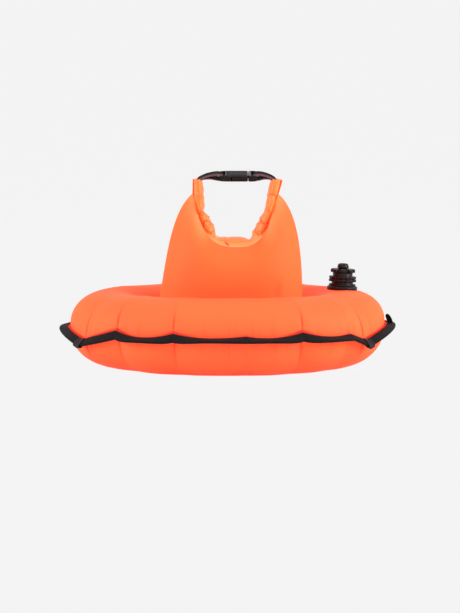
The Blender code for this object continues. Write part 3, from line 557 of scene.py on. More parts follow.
def surface(name, points, finish, along, across, round_cols=True, round_rows=False, caps=False, **marks):
    """Mesh over a grid of points, rows x columns x 3, with its UV map in metres.

    along holds the length up to each column and across that up to each row, one more than the
    columns or rows where the grid closes on itself. caps closes the first and last rows. Each of the
    marks is an attribute, with its value of 0 to 1 at each point.
    """
    rows, cols = points.shape[:2]
    face_rows = rows if round_rows else rows - 1
    face_cols = cols if round_cols else cols - 1
    i, j = np.meshgrid(np.arange(face_rows), np.arange(face_cols), indexing="ij")
    i, j = i.ravel(), j.ravel()
    corners_i = np.stack([i, i, i + 1, i + 1], axis=1)
    corners_j = np.stack([j, j + 1, j + 1, j], axis=1)
    quads = (corners_i % rows) * cols + corners_j % cols
    faces = quads.tolist()
    if caps:
        faces += [np.arange(cols)[::-1].tolist(), (np.arange(cols) + (rows - 1) * cols).tolist()]
    mesh = bpy.data.meshes.new(name)
    mesh.from_pydata(points.reshape(-1, 3).tolist(), [], faces)
    uv = np.zeros((len(mesh.loops), 2), np.float32)
    uv[:quads.size, 0] = np.asarray(along)[corners_j.ravel()]
    uv[:quads.size, 1] = np.asarray(across)[corners_i.ravel()]
    mesh.uv_layers.new(name="cloth").data.foreach_set("uv", uv.ravel())
    for label, values in marks.items():
        values = np.clip(np.broadcast_to(values, (rows, cols)), 0, 1).astype(np.float32).ravel()
        mesh.attributes.new(label, "FLOAT", "POINT").data.foreach_set("value", values)
    mesh.shade_smooth()
    mesh.materials.append(finish)
    return placed(name, mesh)


def lengths(points, closed=False):
    """Length up to each point of a line, and round to the first again where it is closed."""
    if closed:
        points = np.vstack([points, points[:1]])
    steps = np.linalg.norm(np.diff(points, axis=0), axis=1)
    return np.concatenate([[0], np.cumsum(steps)])


def reworked(obj, change):
    """The object, with its mesh changed in place."""
    work = bmesh.new()
    work.from_mesh(obj.data)
    change(work)
    work.to_mesh(obj.data)
    work.free()
    return obj


def point_out(obj):
    """Turn every face of a closed mesh outwards."""
    return reworked(obj, lambda work: bmesh.ops.recalc_face_normals(work, faces=work.faces))


def close_ends(work):
    """Close every opening that is left in a mesh."""
    bmesh.ops.holes_fill(work, edges=[edge for edge in work.edges if edge.is_boundary])


def wall(obj, thickness, offset=-1):
    """Give an open surface its thickness."""
    step = obj.modifiers.new("wall", "SOLIDIFY")
    step.thickness = thickness
    step.offset = offset
    return obj


def join_frame(obj, body, slot, *nodes):
    """Let a piece ride on its body, in the place of its nodes. Its slot argument is not used."""
    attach(obj, body)
    if nodes:
        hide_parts(*nodes)
    return obj


def even(points, count, closed):
    """Points at equal lengths along a line."""
    length = lengths(points, closed)
    if closed:
        points = np.vstack([points, points[:1]])
    wanted = np.linspace(0, length[-1], count, endpoint=not closed)
    return np.column_stack([np.interp(wanted, length, column) for column in points.T])


def unit(rows):
    """Each row at length 1."""
    return rows / np.linalg.norm(rows, axis=1)[:, None]


def bell(away, width):
    """1 in the middle, falling off to both sides as a bell."""
    return np.exp(-(away / width) ** 2)


def between(start, end, share):
    """The value at this share of the way from the first to the second."""
    return start + (end - start) * share


def cubic(t):
    """How much of its rise, of its first slope and of its last one a cubic has at t, from 0 to 1."""
    return 3 * t ** 2 - 2 * t ** 3, t ** 3 - 2 * t ** 2 + t, t ** 3 - t ** 2


def powered(angle, power):
    """Cosine and sine of a superellipse: each to the power of 2 over the given one, with its sign."""
    share = 2 / power
    cosine, sine = np.cos(angle), np.sin(angle)
    return np.sign(cosine) * np.abs(cosine) ** share, np.sign(sine) * np.abs(sine) ** share


def ring_middle(count):
    """The tube's middle line in plan, a superellipse at equal lengths, with its outward normals."""
    cosine, sine = powered(np.linspace(0, FULL_TURN, CURVE_SAMPLES, endpoint=False), PLAN_POWER)
    size = np.array([RING_LENGTH, RING_WIDTH]) - TUBE_WIDTH
    line = np.column_stack([cosine, sine]) * (size / 2)
    points = even(line, count, closed=True)
    along = unit(np.roll(points, -1, axis=0) - np.roll(points, 1, axis=0))
    return points, np.column_stack([along[:, 1], -along[:, 0]])


def outer_seam(count):
    """The seam of the ring's two skins in plan."""
    middle, normal = ring_middle(count)
    return middle + normal * TUBE_WIDTH / 2


def inner_seam(count):
    """The line in the ring's hole in plan, where the bag stands."""
    middle, normal = ring_middle(count)
    return middle - normal * (TUBE_WIDTH / 2 + SEAM_GAP)


def place_at(x, start):
    """The share round the ring where its seam passes x, on the half turn from this share."""
    first, half = int(start * PLACE_SAMPLES), PLACE_SAMPLES // 2
    seam_x = outer_seam(PLACE_SAMPLES)[first:first + half, 0]
    return (first + int(np.argmin(np.abs(seam_x - x)))) / PLACE_SAMPLES


def course_table():
    """The seam's course: share round the ring, height, droop and whether it comes to a point."""
    return np.array(sorted(
        (place_at(x, start), height, math.radians(droop), sharp)
        for course, start in ((BACK_COURSE, BACK_HALF), (FRONT_COURSE, FRONT_HALF))
        for x, height, droop, sharp in course[:-1]))


def course_at(place, column):
    """One column of the seam's course at each share round the ring.

    Between two points it is a cubic: level at a rounded point, and at a pointed one with twice the
    slope of the straight line there, so that the peaks come to a point between rounded hollows.
    """
    table = COURSE
    starts = table[:, 0]
    ends = np.append(starts[1:], starts[0] + 1)
    shifted = np.where(place < starts[0], place + 1, place)
    index = np.clip(np.searchsorted(starts, shifted, side="right") - 1, 0, len(starts) - 1)
    after = (index + 1) % len(starts)
    t = (shifted - starts[index]) / (ends[index] - starts[index])
    rise = table[after, column] - table[index, column]
    sharp_here, sharp_after = table[index, 3], table[after, 3]
    risen, leave, arrive = cubic(t)
    value = table[index, column] + rise * risen
    value = value + rise * sharp_here * (2 - sharp_after) * leave
    return value + rise * sharp_after * (2 - sharp_here) * arrive


def seam_frame(count):
    """Seam points, the direction of the flange and its normal, at equal lengths round the ring."""
    normal = ring_middle(count)[1]
    place = np.arange(count) / count
    droop = course_at(place, 2)
    seam = np.column_stack([outer_seam(count), course_at(place, 1)])
    out = np.column_stack([normal * np.cos(droop)[:, None], -np.sin(droop)])
    up = np.column_stack([normal * np.sin(droop)[:, None], np.cos(droop)])
    return seam, out, up


def wrapped(place, centre):
    """Distance round the ring from a place, as a share between -0.5 and 0.5."""
    return (place - centre + 0.5) % 1 - 0.5


def seam_relief(place, angle, perimeter, seed):
    """How far the skin stands out near the seam: less in each pucker's crease, more between them.

    A crease is a sharp fall and rise across it, wider further from the seam, times a fall along the
    section. The pillow between is what they leave over. Fine wrinkles are narrow bells at random.
    The second result is painted shade: how dark the cloth is painted along each crease, in the wrinkles'
    hollows and right by the tape, where shade falls.
    """
    relief, painted_shade = np.zeros((2, len(angle), len(place)))
    fall = (1 - np.exp(-angle / CREASE_START)) * bell(angle, CREASE_REACH)
    nearest = np.full(len(place), 1.0)
    for centre, height in COURSE[COURSE[:, 3] > 0, :2]:
        away = np.abs(wrapped(place, centre)) * perimeter
        nearest = np.minimum(nearest, away)
        strength = min(1.0, abs(height - SEAM_HEIGHT) / CREASE_FULL)
        width = CREASE_WIDTH + CREASE_SPREAD * angle / CREASE_REACH
        relief -= CREASE_DEPTH * strength * fall[:, None] * np.exp(-away / width[:, None])
        # Painted shade: a dark line along each crease, where shade falls in it
        line = bell(angle, PAINTED_CREASE_LINE_REACH)[:, None] * bell(away, width[:, None] * PAINTED_CREASE_LINE_SHARE)
        painted_shade = np.maximum(painted_shade, PAINTED_CREASE_SHADE * strength * line)
    pillow = 1 - bell(nearest, PILLOW_LENGTH)
    relief += PILLOW_RISE * np.sin(np.clip(angle, 0, math.pi / 2) * 2)[:, None] ** PILLOW_POWER * pillow
    random = np.random.default_rng(seed)
    for _ in range(WRINKLES):
        centre, width = random.random(), random.uniform(*WRINKLE_WIDTHS)
        reach, height = random.uniform(*WRINKLE_REACHES), random.uniform(*WRINKLE_SHARES) * WRINKLE_HEIGHT
        away = wrapped(place, centre) * perimeter
        wrinkle = bell(away, width) * bell(angle[:, None], reach)
        relief += height * wrinkle
        # Painted shade in each wrinkle's hollow
        painted_shade = np.maximum(painted_shade, wrinkle * max(0.0, -height) / WRINKLE_HEIGHT * PAINTED_WRINKLE_SHADE)
    # Painted shade right by the tape
    return relief, np.maximum(painted_shade, np.exp(-angle / PAINTED_SEAM_SHADE_REACH)[:, None])


def ring_skin(name, upper, finish, seed):
    """One skin of the ring: its flange, then the tube's section from the outer to the inner seam.

    The section is a superellipse. Its height follows the seam's course near the seam and forgets it
    further round, by a power of the half angle's cosine.
    """
    side = 1 if upper else -1
    lift = side * SEAM_GAP / 2
    place = np.arange(RING_STEPS) / RING_STEPS
    perimeter = lengths(outer_seam(RING_STEPS), closed=True)[-1]
    creases = COURSE[COURSE[:, 3] > 0, 0]
    close = np.abs(wrapped(place[:, None], creases[None])).min(axis=1) * perimeter < CREASE_CLOSE
    kept = np.flatnonzero(close | (np.arange(RING_STEPS) % RING_SPARSE == 0))
    middle, normal = (part[kept] for part in ring_middle(RING_STEPS))
    seam, out, up = (part[kept] for part in seam_frame(RING_STEPS))
    place = place[kept]
    height = course_at(place, 1)
    rows = [seam + out * reach + up * lift for reach in np.linspace(FLANGE_WIDTH, 0, FLANGE_ROWS)[:-1]]
    angles = math.pi * np.linspace(0, 1, RING_ARCS + 1) ** ARC_POWER
    relief, painted_shade = seam_relief(place, angles, perimeter, seed)
    # The flange, under the tape, gets full painted shade
    painted_shade = np.vstack([np.ones((FLANGE_ROWS - 1, len(place))), painted_shade])
    ends = np.abs(middle[:, 0] * 2 / (RING_LENGTH - TUBE_WIDTH)) ** END_RISE_POWER
    rise = TUBE_HEIGHT - SEAM_HEIGHT if upper else SEAM_HEIGHT + GROUND_PRESS - END_RISE * ends
    power, fade_power = (SECTION_POWER, COURSE_FADE_POWER) if upper else (LOWER_POWER, LOWER_FADE_POWER)
    for angle, stand in zip(angles, relief):
        across, tall = powered(np.array(angle), power)
        fade = math.cos(angle / 2) ** fade_power
        reach = TUBE_WIDTH / 2 * across + stand * across
        level = SEAM_HEIGHT + lift + (height - SEAM_HEIGHT) * fade
        level = level + side * (rise * tall + stand * tall * RELIEF_LIFT)
        rows.append(np.column_stack([middle + normal * reach[:, None], level]))
    points = np.array(rows)
    if upper:
        flatten_under_valve(points)
    else:
        points[..., 2] = np.maximum(points[..., 2], 0)
    along = lengths(seam, closed=True)
    across = lengths(points[:, 0])
    skin = surface(name, points, finish, along, across, fold=painted_shade)
    if not upper:
        skin.data.flip_normals()
    return skin


def flatten_under_valve(points):
    """Press the skin down to the plane of the valve's flange, softly at the edge."""
    above = (points - VALVE_POINT) @ VALVE_AXIS
    away = np.linalg.norm(points - VALVE_POINT, axis=-1)
    share = np.clip((SEAT_PRESS_REACH - away) / SEAT_PRESS_SOFT, 0, 1)
    press = np.where(above > 0, above * share, 0)
    points -= press[..., None] * VALVE_AXIS


def pierce_for_valve(work):
    """Open the skin under the valve's flange."""
    axis, point = Vector(VALVE_AXIS), Vector(VALVE_POINT)
    inside = []
    for face in work.faces:
        away = face.calc_center_median() - point
        along = away.dot(axis)
        if abs(along) < SEAT_BORE_DEPTH and (away - axis * along).length < SEAT_BORE_RADIUS:
            inside.append(face)
    bmesh.ops.delete(work, geom=inside, context="FACES")


def folded_tape(name, finish, start, end, proud, *nodes):
    """Tape folded over the flange: a hairpin section carried along a stretch of the seam.

    The section runs up one face, round the fold as a half circle, and back along the other face,
    then back again inside the tape's thickness.
    """
    closed = end - start >= 1
    total = TAPE_STEPS if closed else TAB_STEPS
    index = np.arange(int(start * total), int(end * total) + (not closed))
    seam, out, up = (part[index] for part in seam_frame(total))
    inner = SKIN + SEAM_GAP / 2 + TAPE_CLEARANCE + proud
    outer = inner + TAPE_THICKNESS
    edge = FLANGE_WIDTH + SEAM_GAP + proud
    back = edge - (TAPE_WIDTH + proud)
    turn = np.linspace(math.pi / 2, -math.pi / 2, TAPE_TURN_POINTS)
    sides = np.linspace(back, edge, TAPE_SIDE_POINTS + 1)[:-1]
    section = []
    for radius, side in ((outer, 1), (inner, -1)):
        section += [(x, side * radius) for x in sides]
        section += [(edge + radius * math.cos(a), side * radius * math.sin(a)) for a in turn]
        section += [(x, -side * radius) for x in sides[::-1]]
    section = np.array(section)
    rows = seam[None] + out[None] * section[:, 0, None, None] + up[None] * section[:, 1, None, None]
    tape = surface(name, rows, finish, lengths(seam, closed=closed), lengths(section, closed=True),
                   round_cols=closed, round_rows=True)
    if not closed:
        reworked(tape, close_ends)
    return join_frame(point_out(tape), "float", "binding_tape", *nodes)


def carried(path, normal, across, out):
    """A section along an (x, z) path: its widths across the path, and its heights along the normal."""
    x = path[:, 0, None] + normal[:, 0, None] * out
    z = path[:, 1, None] + normal[:, 1, None] * out
    return np.stack([x, np.broadcast_to(across, x.shape), z], axis=-1)


def ribbon(name, path, width, thickness, finish, matrix=None, fold=0, near=0):
    """Webbing along an (x, z) path: a flat section with rounded selvedges, carried along it.

    The section is a superellipse, flat across its width. fold is the fold attribute along the path, a
    painted brown reflection on webbing, and near is 1 where the near half is painted with it too.
    """
    along = unit(np.gradient(path, axis=0))
    normal = np.column_stack([-along[:, 1], along[:, 0]])
    wide, tall = powered(np.linspace(0, FULL_TURN, RIBBON_POINTS, endpoint=False), SELVEDGE_POWER)
    wide, tall = wide * width / 2, tall * thickness / 2
    points = carried(path, normal, wide, tall)
    painted_reflection = np.maximum(np.reshape(fold, (-1, 1)), near * (-wide / width * NEAR_STEEPNESS))
    obj = surface(name, points, finish, lengths(np.column_stack([wide, tall]), closed=True),
                  lengths(path), caps=True, fold=painted_reflection)
    uv = obj.data.uv_layers["cloth"].data
    flat = np.zeros(len(uv) * 2, np.float32)
    uv.foreach_get("uv", flat)
    flat = flat.reshape(-1, 2)[:, ::-1]
    uv.foreach_set("uv", np.ascontiguousarray(flat).ravel())
    if matrix is not None:
        obj.data.transform(matrix)
    return point_out(obj)


def spline(points, count):
    """A smooth curve through points, sampled at equal lengths."""
    points = np.asarray(points, dtype=float)
    padded = np.vstack([2 * points[0] - points[1], points, 2 * points[-1] - points[-2]])
    fine = []
    for i in range(len(points) - 1):
        before, start, end, after = padded[i:i + 4]
        t = np.linspace(0, 1, SPAN_SAMPLES, endpoint=False)[:, None]
        fine.append(0.5 * (2 * start + (end - before) * t
                           + (2 * before - 5 * start + 4 * end - after) * t ** 2
                           + (3 * start - before - 3 * end + after) * t ** 3))
    return even(np.vstack(fine + [points[-1:]]), count, closed=False)


def mouth_line(angle):
    """Points on the U of the rolled mouth: half a superellipse, whose arms lean in."""
    drop, reach = powered(angle, MOUTH_POWER)
    lean = np.where(angle > 0, -RIGHT_LEAN, LEFT_LEAN) * drop * (1 - drop ** LEAN_FOOT_POWER)
    return np.column_stack([MOUTH_MIDDLE + MOUTH_HALF * reach + lean, MOUTH_TIP - MOUTH_DEPTH * drop])


def mouth_path(angle):
    """The roll's middle line in the XZ plane, and its outward normal."""
    angle = np.asarray(angle, dtype=float)
    along = unit(mouth_line(angle + PATH_STEP) - mouth_line(angle - PATH_STEP))
    return mouth_line(angle), np.column_stack([along[:, 1], -along[:, 0]])


def front_share(angle):
    """1 at the bottom of the U, where the panels come forward over the roll, and 0 on its arms."""
    return cubic(np.clip((np.cos(angle) - FRONT_START) / (FRONT_FULL - FRONT_START), 0, 1))[0]


def bag_skin(finish):
    """The bag's tube: a cubic loft from the oval seam up to the flattened, U-shaped mouth.

    It keeps its depth up to a shoulder, and turns in over the roll there as a superellipse does. At
    the bottom of the U its edge stays forward, flush with the roll. Soft folds are long bells that
    lean with the cloth: from the foot at the right, and down from each end of the roll.
    """
    foot = even(inner_seam(PLACE_SAMPLES), BAG_STEPS, closed=True)
    foot_level = SEAM_HEIGHT - FLOOR_DROP + SEAM_GAP
    half = BAG_STEPS // 2
    angles = np.linspace(-PANEL_REACH, PANEL_REACH, half + 1)
    order = np.concatenate([np.arange(half, -1, -1), np.arange(1, half)])
    point, outward = mouth_path(angles)
    turn = np.arange(BAG_STEPS) * FULL_TURN / BAG_STEPS
    share = np.sin(turn)
    side = np.sign(share) * np.minimum(1, np.abs(share) * SIDE_STEEPNESS)
    clear = between(PANEL_CLEARANCE, SIDE_FOLD_CLEARANCE, 1 - np.abs(side))
    front = front_share(angles[order])
    girth = np.interp(angles[order] / math.pi + 0.5, *np.array(ROLL_OUTSIDE_SHARES).T)
    arm = np.clip(np.cos(angles[order]) / ARM_START, 0, 1) * (1 - front)
    reach_out = ROLL_THICKNESS / 2 * between(girth, 1, front) + (clear - EAR_TUCK) * (1 - front)
    reach_out += (clear - TUCK) * front - ARM_TUCK * arm
    edge = point[order] + outward[order] * reach_out[:, None]
    right = (angles[order] / PANEL_REACH + 1) / 2
    lean = BAG_LEAN * (1 - right)
    left_bulge, right_bulge = SIDE_BULGES
    sideways = np.where(np.cos(turn) > 0, right_bulge, -left_bulge) * np.cos(turn) ** 2
    forward = between(PANEL_HALF, PANEL_FRONT, front) + (ARM_FORWARD - PANEL_HALF) * arm
    arrive = unit(np.array([0, 1]) - outward[order])
    rows = []
    for t in 1 - np.linspace(1, 0, BAG_ROWS + 1) ** ROW_POWER:
        risen, leave, reach = cubic(t)
        x = between(foot[:, 0], edge[:, 0], risen)
        x += BAG_RISE * leave * lean + BAG_ARRIVE * reach * arrive[:, 0]
        x += 27 / 4 * t ** 2 * (1 - t) * sideways
        z = between(foot_level, edge[:, 1], risen)
        z += BAG_RISE * BAG_UPRIGHT_SHARE * leave + BAG_ARRIVE * reach * arrive[:, 1]
        hold = math.sqrt(1 - t ** SHOULDER_POWER)
        y = (foot[:, 1] + BAG_BELLY * t * share) * hold + side * forward * (1 - hold)
        rows.append(np.column_stack([x, y, z]))
    curl = LIP * between(LIP_LEAST_SHARE, 1, front)
    for bend in np.radians(LIP_BENDS):
        inward = edge - outward[order] * (curl * math.sin(bend))[:, None]
        y = side * (forward - curl * (1 - math.cos(bend)))
        rows.append(np.column_stack([inward[:, 0], y, inward[:, 1]]))
    points = np.array(rows)
    fade = np.clip(np.abs(share) * FOLD_STEEPNESS, 0, 1)
    for fold_x, fold_z, lean_x, width, tall, height in BAG_FOLDS:
        above = points[..., 2] - fold_z
        fold = height * bell(points[..., 0] - fold_x - above * lean_x, width) * bell(above, tall)
        points[..., 1] += np.sign(points[..., 1]) * fold * fade
    level = np.arange(len(points))[:, None] / BAG_ROWS
    # Painted shade along the panels' edge by the roll, on the arms of the U, and a painted dark crease
    # line on the lip in front
    painted_shade = bell(1 - level, PAINTED_EDGE_SHADE_WIDTH) * (1 - front)[None] * PAINTED_EDGE_SHADE
    foot_x, low, high = PAINTED_LIP_CREASE
    x, y, z = points[..., 0], points[..., 1], points[..., 2]
    line = bell(x - foot_x - (z - low) * PAINTED_LIP_CREASE_LEAN, PAINTED_LIP_CREASE_WIDTH)
    painted_shade += line * (z > low) * (z < high) * (y < 0)
    # Painted highlight: paler below the ridge and along it at the bottom of the U, and beside the roll on
    # its arms
    below = np.clip(1 - level, 0, 1)
    crest = (RIDGE_PAINTED_HIGHLIGHT * bell(below, RIDGE_PAINTED_HIGHLIGHT_WIDTH) + (1 - RIDGE_PAINTED_HIGHLIGHT) * bell(level - 1, RIDGE_PAINTED_HIGHLIGHT_LINE)) * front[None]
    crest += SIDE_PAINTED_HIGHLIGHT * bell(below, SIDE_PAINTED_HIGHLIGHT_WIDTH) * (1 - front)[None]
    return surface("bag_skin", points, finish, lengths(points[0], closed=True), lengths(points[:, 0]),
                   fold=painted_shade, crest=crest)


# Soft folds of the bag: x, z, lean, half width, half height, how far it stands out
BAG_FOLDS = (
    (0.062, 0.102, 0.35, 0.004, 0.013, -0.0014),
    (0.073, 0.104, 0.20, 0.004, 0.016, 0.0011),
    (0.085, 0.108, 0.05, 0.004, 0.016, -0.0009),
    (0.090, 0.170, -0.10, 0.010, 0.040, 0.0010),
    (-0.056, 0.185, 0.55, 0.006, 0.022, 0.0014),
    (0.076, 0.180, -0.50, 0.006, 0.022, 0.0014),
    (-0.072, 0.120, 0.06, 0.010, 0.030, 0.0009),
    (-0.020, 0.110, 0.00, 0.020, 0.025, 0.0008),
)

# Pleats of the roll: share of the way from left to right, slant, half width, height
ROLL_PLEATS = (
    (0.060, 0.5, 0.018, 0.0010), (0.125, -0.9, 0.015, -0.0016), (0.168, 1.2, 0.012, 0.0018),
    (0.205, -1.4, 0.011, 0.0017), (0.245, 1.5, 0.011, -0.0019), (0.285, -1.5, 0.011, 0.0020),
    (0.325, 1.1, 0.012, -0.0018), (0.370, -0.9, 0.014, 0.0014), (0.440, 0.4, 0.016, -0.0014),
    (0.560, -0.4, 0.020, 0.0009), (0.620, 0.9, 0.014, -0.0016), (0.672, -1.3, 0.014, 0.0019),
    (0.722, 1.2, 0.011, -0.0020), (0.762, -1.0, 0.012, 0.0016), (0.812, 0.9, 0.010, -0.0016),
    (0.870, -0.5, 0.020, 0.0010), (0.935, -0.5, 0.014, -0.0011),
)

# The roll's half thickness inside and outside the U, and its depth, as shares of the plain section's,
# each behind its place as a share of the way from left to right
ROLL_INSIDE_SHARES = (
    (0, 0.80), (0.004, 0.92), (0.032, 1.14), (0.052, 0.98), (0.085, 0.94), (0.114, 0.95), (0.137, 0.40),
    (0.155, 0.70), (0.172, 0.92), (0.205, 1.04), (0.241, 1.16), (0.27, 1.05), (0.299, 0.84),
    (0.325, 0.52), (0.344, 0.16), (0.371, 0.32), (0.414, 0.78), (0.477, 1.09), (0.517, 1.08),
    (0.551, 0.71), (0.589, 0.18), (0.622, 0.57), (0.65, 0.95), (0.68, 1.16), (0.739, 1.23),
    (0.786, 1.13), (0.810, 1.30), (0.83, 1.10), (0.851, 0.79), (0.879, 0.94), (0.934, 1.16),
    (0.980, 1.13), (1, 0.87),
)
ROLL_OUTSIDE_SHARES = (
    (0, 0.92), (0.05, 1.12), (0.11, 1.00), (0.18, 0.96), (0.28, 1.00), (0.36, 0.98), (0.46, 0.95),
    (0.54, 0.95), (0.65, 1.08), (0.75, 1.18), (0.82, 1.0), (0.87, 0.90), (0.96, 1.0), (1, 1.30),
)
ROLL_DEPTH_SHARES = (
    (0, 0.93), (0.13, 0.95), (0.24, 1.0), (0.34, 0.90), (0.48, 0.98), (0.59, 0.90), (0.70, 0.98),
    (0.80, 0.90), (0.90, 0.98), (1, 0.93),
)


def eased(values):
    """The values with their corners taken off, by a mean over their neighbours."""
    kernel = np.hanning(ROLL_SMOOTH) / np.hanning(ROLL_SMOOTH).sum()
    return np.convolve(np.pad(values, ROLL_SMOOTH // 2, "edge"), kernel, "valid")


def rolled_mouth(finish):
    """The rolled mouth: a flattened two-turn spiral band carried along the U, pinched and pleated.

    A pleat is a bell along the U whose centre slants with the angle round the section, so that it
    lies as a diagonal fold. The girth narrows at the pinches and swells between them, by more on the
    U's inside than on its outside.
    """
    angles = np.linspace(-math.pi / 2, math.pi / 2, ROLL_STEPS)
    share = np.linspace(0, 1, ROLL_STEPS)
    point, outward = mouth_path(angles)
    last = ROLL_THICKNESS / 2 - ROLL_FOLD / 2
    first = last - ROLL_TURNS * ROLL_PITCH
    turn = np.linspace(0, ROLL_TURNS, ROLL_TURNS * ROLL_TURN_STEPS + 1)
    phase = turn * FULL_TURN + math.pi / 2
    inside, outside, depth = (
        eased(np.interp(share, *np.array(table).T))
        for table in (ROLL_INSIDE_SHARES, ROLL_OUTSIDE_SHARES, ROLL_DEPTH_SHARES))
    pleat, painted_shade = np.zeros((2, ROLL_STEPS, len(phase)))
    for centre, slant, width, height in ROLL_PLEATS:
        away = (share[:, None] - centre - slant * PLEAT_LEAN * np.cos(phase)[None]) / width
        steep = np.tanh(away * np.sign(slant) / PLEAT_EDGE)
        pleat += height * bell(away, 1) * (1 + steep)
        # Painted shade on each pleat's steep side, where shade falls in the fold
        painted_shade += abs(height) / PLEAT_FULL_SHADE * bell(away, 1) * (1 - steep ** 2)
    flat = between(PLEAT_EDGE_SHARE, 1, np.abs(np.cos(phase)))
    pleat *= (turn / ROLL_TURNS)[None] ** 0.5 * flat[None]
    bottom = front_share(angles)[:, None]
    faces = []
    for offset in (ROLL_FOLD / 2, -ROLL_FOLD / 2):
        radius = first + ROLL_PITCH * turn + offset
        y = (ROLL_CORE + radius[None] + pleat) * np.cos(phase)[None] * depth[:, None]
        n = (radius[None] + pleat) * np.sin(phase)[None]
        n = n * np.where(n < 0, inside[:, None], outside[:, None])
        y *= 1 + ROLL_TAPER * bottom * (n / (ROLL_THICKNESS / 2) - 0.5)
        faces.append(np.stack([y, n], axis=-1))
    section = np.concatenate([faces[0], faces[1][:, ::-1]], axis=1)
    points = carried(point, outward, section[..., 0], section[..., 1])
    painted_shade = np.concatenate([painted_shade, painted_shade[:, ::-1]], axis=1)
    # Painted shade on the pleats, and a painted highlight on the roll at the bottom of the U
    roll = surface("rolled_mouth", points, finish, lengths(section[0], closed=True), lengths(point),
                   caps=True, fold=painted_shade, crest=ROLL_PAINTED_HIGHLIGHT * bottom)
    return join_frame(point_out(roll), "float", "bag_nylon", "roll_collar")


def turned(name, body, node, notches, profile, finish):
    """A turned piece on the valve's axis: a closed profile of (radius, height) swept round.

    Its notches are the tops of a cosine wave round it, cut at a level and made steep, and each takes a
    share of the radius away.
    """
    steps = NOTCHED_STEPS if notches else TURNED_STEPS
    turn = np.arange(steps) * FULL_TURN / steps
    radius = np.broadcast_to(profile[:, 0, None], (len(profile), steps)).copy()
    if notches:
        count, start, share, depth, from_radius = notches
        wave = np.cos((turn + start) * count)
        block = np.clip((wave - math.cos(math.pi * share)) * NOTCH_STEEPNESS, 0, 1)
        radius *= np.where(radius > from_radius, 1 - block * depth, 1)
    points = np.stack([radius * np.cos(turn), radius * np.sin(turn),
                       np.broadcast_to(profile[:, 1, None], radius.shape)], axis=-1)
    along = np.linspace(0, 1, steps + 1) * profile[:, 0].max() * FULL_TURN
    obj = surface(name, points, finish, along, lengths(profile, closed=True), round_rows=True)
    obj.data.transform(VALVE_MATRIX)
    point_out(obj)
    obj.data.set_sharp_from_angle(angle=TURNED_SHARP)
    return join_frame(obj, body, "valve_plastic", node)


def rounded(profile, radius):
    """A closed profile with each corner cut back by up to this radius and rounded."""
    profile = np.asarray(profile, dtype=float)
    result = []
    for here, before, after in zip(profile, np.roll(profile, 1, axis=0), np.roll(profile, -1, axis=0)):
        to_before, to_after = before - here, after - here
        one, other = np.linalg.norm(to_before), np.linalg.norm(to_after)
        reach = min(radius, one * CORNER_SHARE, other * CORNER_SHARE)
        start = here + to_before / one * reach
        end = here + to_after / other * reach
        for t in np.linspace(0, 1, CORNER_POINTS):
            result.append((1 - t) ** 2 * start + 2 * t * (1 - t) * here + t ** 2 * end)
    return np.array(result)


def valve(plastic, rubber):
    """The valve's stack, with a grip disc, a lugged twist ring and a mushroom-headed mouthpiece."""
    for name, body, node, notches, corner, profile in VALVE_PIECES:
        turned(name, body, node, notches, rounded(profile, corner), plastic)
    for node in ("valve_gasket", "valve_oring", "valve_flap"):
        repaint(node, rubber)


def repaint(node, finish):
    """Give a frame node a better finish."""
    obj = frame["nodes"][node]
    obj.data.materials.clear()
    obj.data.materials.append(finish)
    obj.data.shade_smooth()
    obj.data.set_sharp_from_angle(angle=FRAME_SHARP)


def webbing(finish, matrix):
    """A webbing loop at each end: up out of the roll, over the buckle's bar and back under."""
    clear = SEAM_GAP + WEB_THICKNESS / 2
    corner = clear * math.sqrt(0.5)
    upright = BAR_THICKNESS / 2 + clear * BAR_ROOM
    along = (BAR_WIDTH / 2 + corner) / math.sqrt(1 - ((BAR_THICKNESS / 2 + corner) / upright) ** 2)
    reach = (SOCKET_LENGTH + PLUG_LENGTH) / 2 - BAR_WIDTH / 2
    for side, node, name, body in ((-1, "webbing_left", "strap_left", "socket"),
                                   (1, "webbing_right", "strap_right", "plug")):
        bar = BUCKLE_MIDDLE + side * reach
        tip = MOUTH_MIDDLE + side * MOUTH_HALF
        span, inside = abs(tip - bar), -side
        out = mouth_path([side * math.pi / 2])[1][0] * side * WEB_ROOT
        route = [(tip + out[1], -out[0])] + [(tip + inside * span * share, z) for share, z in WEB_OVER]
        for angle in np.linspace(math.pi / 2, -math.pi / 2, BAR_POINTS):
            x, z = along * math.cos(angle), upright * math.sin(angle)
            route.append((bar + inside * x, BUCKLE_RISE + z))
        route += [(tip + inside * span * share, z) for share, z in WEB_UNDER]
        # Painted reflection: the strand under the bar and the near half of the strap are painted brown,
        # for the orange bag's light reflected on them
        under = np.clip((np.arange(WEB_STEPS) / WEB_STEPS - WEB_UNDER_START) / WEB_UNDER_SOFT, 0, 1)
        strap = ribbon(name, spline(route, WEB_STEPS), WEB_WIDTH, WEB_THICKNESS, finish, matrix, under, 1)
        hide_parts(node)
        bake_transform(strap)


def buckle(finish, matrix):
    """The buckle's frame meshes, in a glossy finish, and ridges on top of the socket."""
    for node in ("buckle_socket", "buckle_plug", "latch_arm_front", "latch_arm_back"):
        repaint(node, finish)
    top = BUCKLE_RISE + BUCKLE_THICKNESS / 2 + RIDGE_SINK
    middle = BUCKLE_MIDDLE - PLUG_LENGTH / 2
    for place in RIDGE_PLACES:
        along = middle + np.linspace(-RIDGE_BACK, RIDGE_FRONT, RIDGE_STEPS)
        path = np.column_stack([along, np.full(RIDGE_STEPS, top)])
        side = matrix @ Matrix.Translation((0, place * BUCKLE_WIDTH / 2, 0))
        ridge = ribbon("socket_ridge", path, RIDGE_WIDTH, RIDGE_THICKNESS, finish, side)
        join_frame(ridge, "socket", "buckle_plastic")


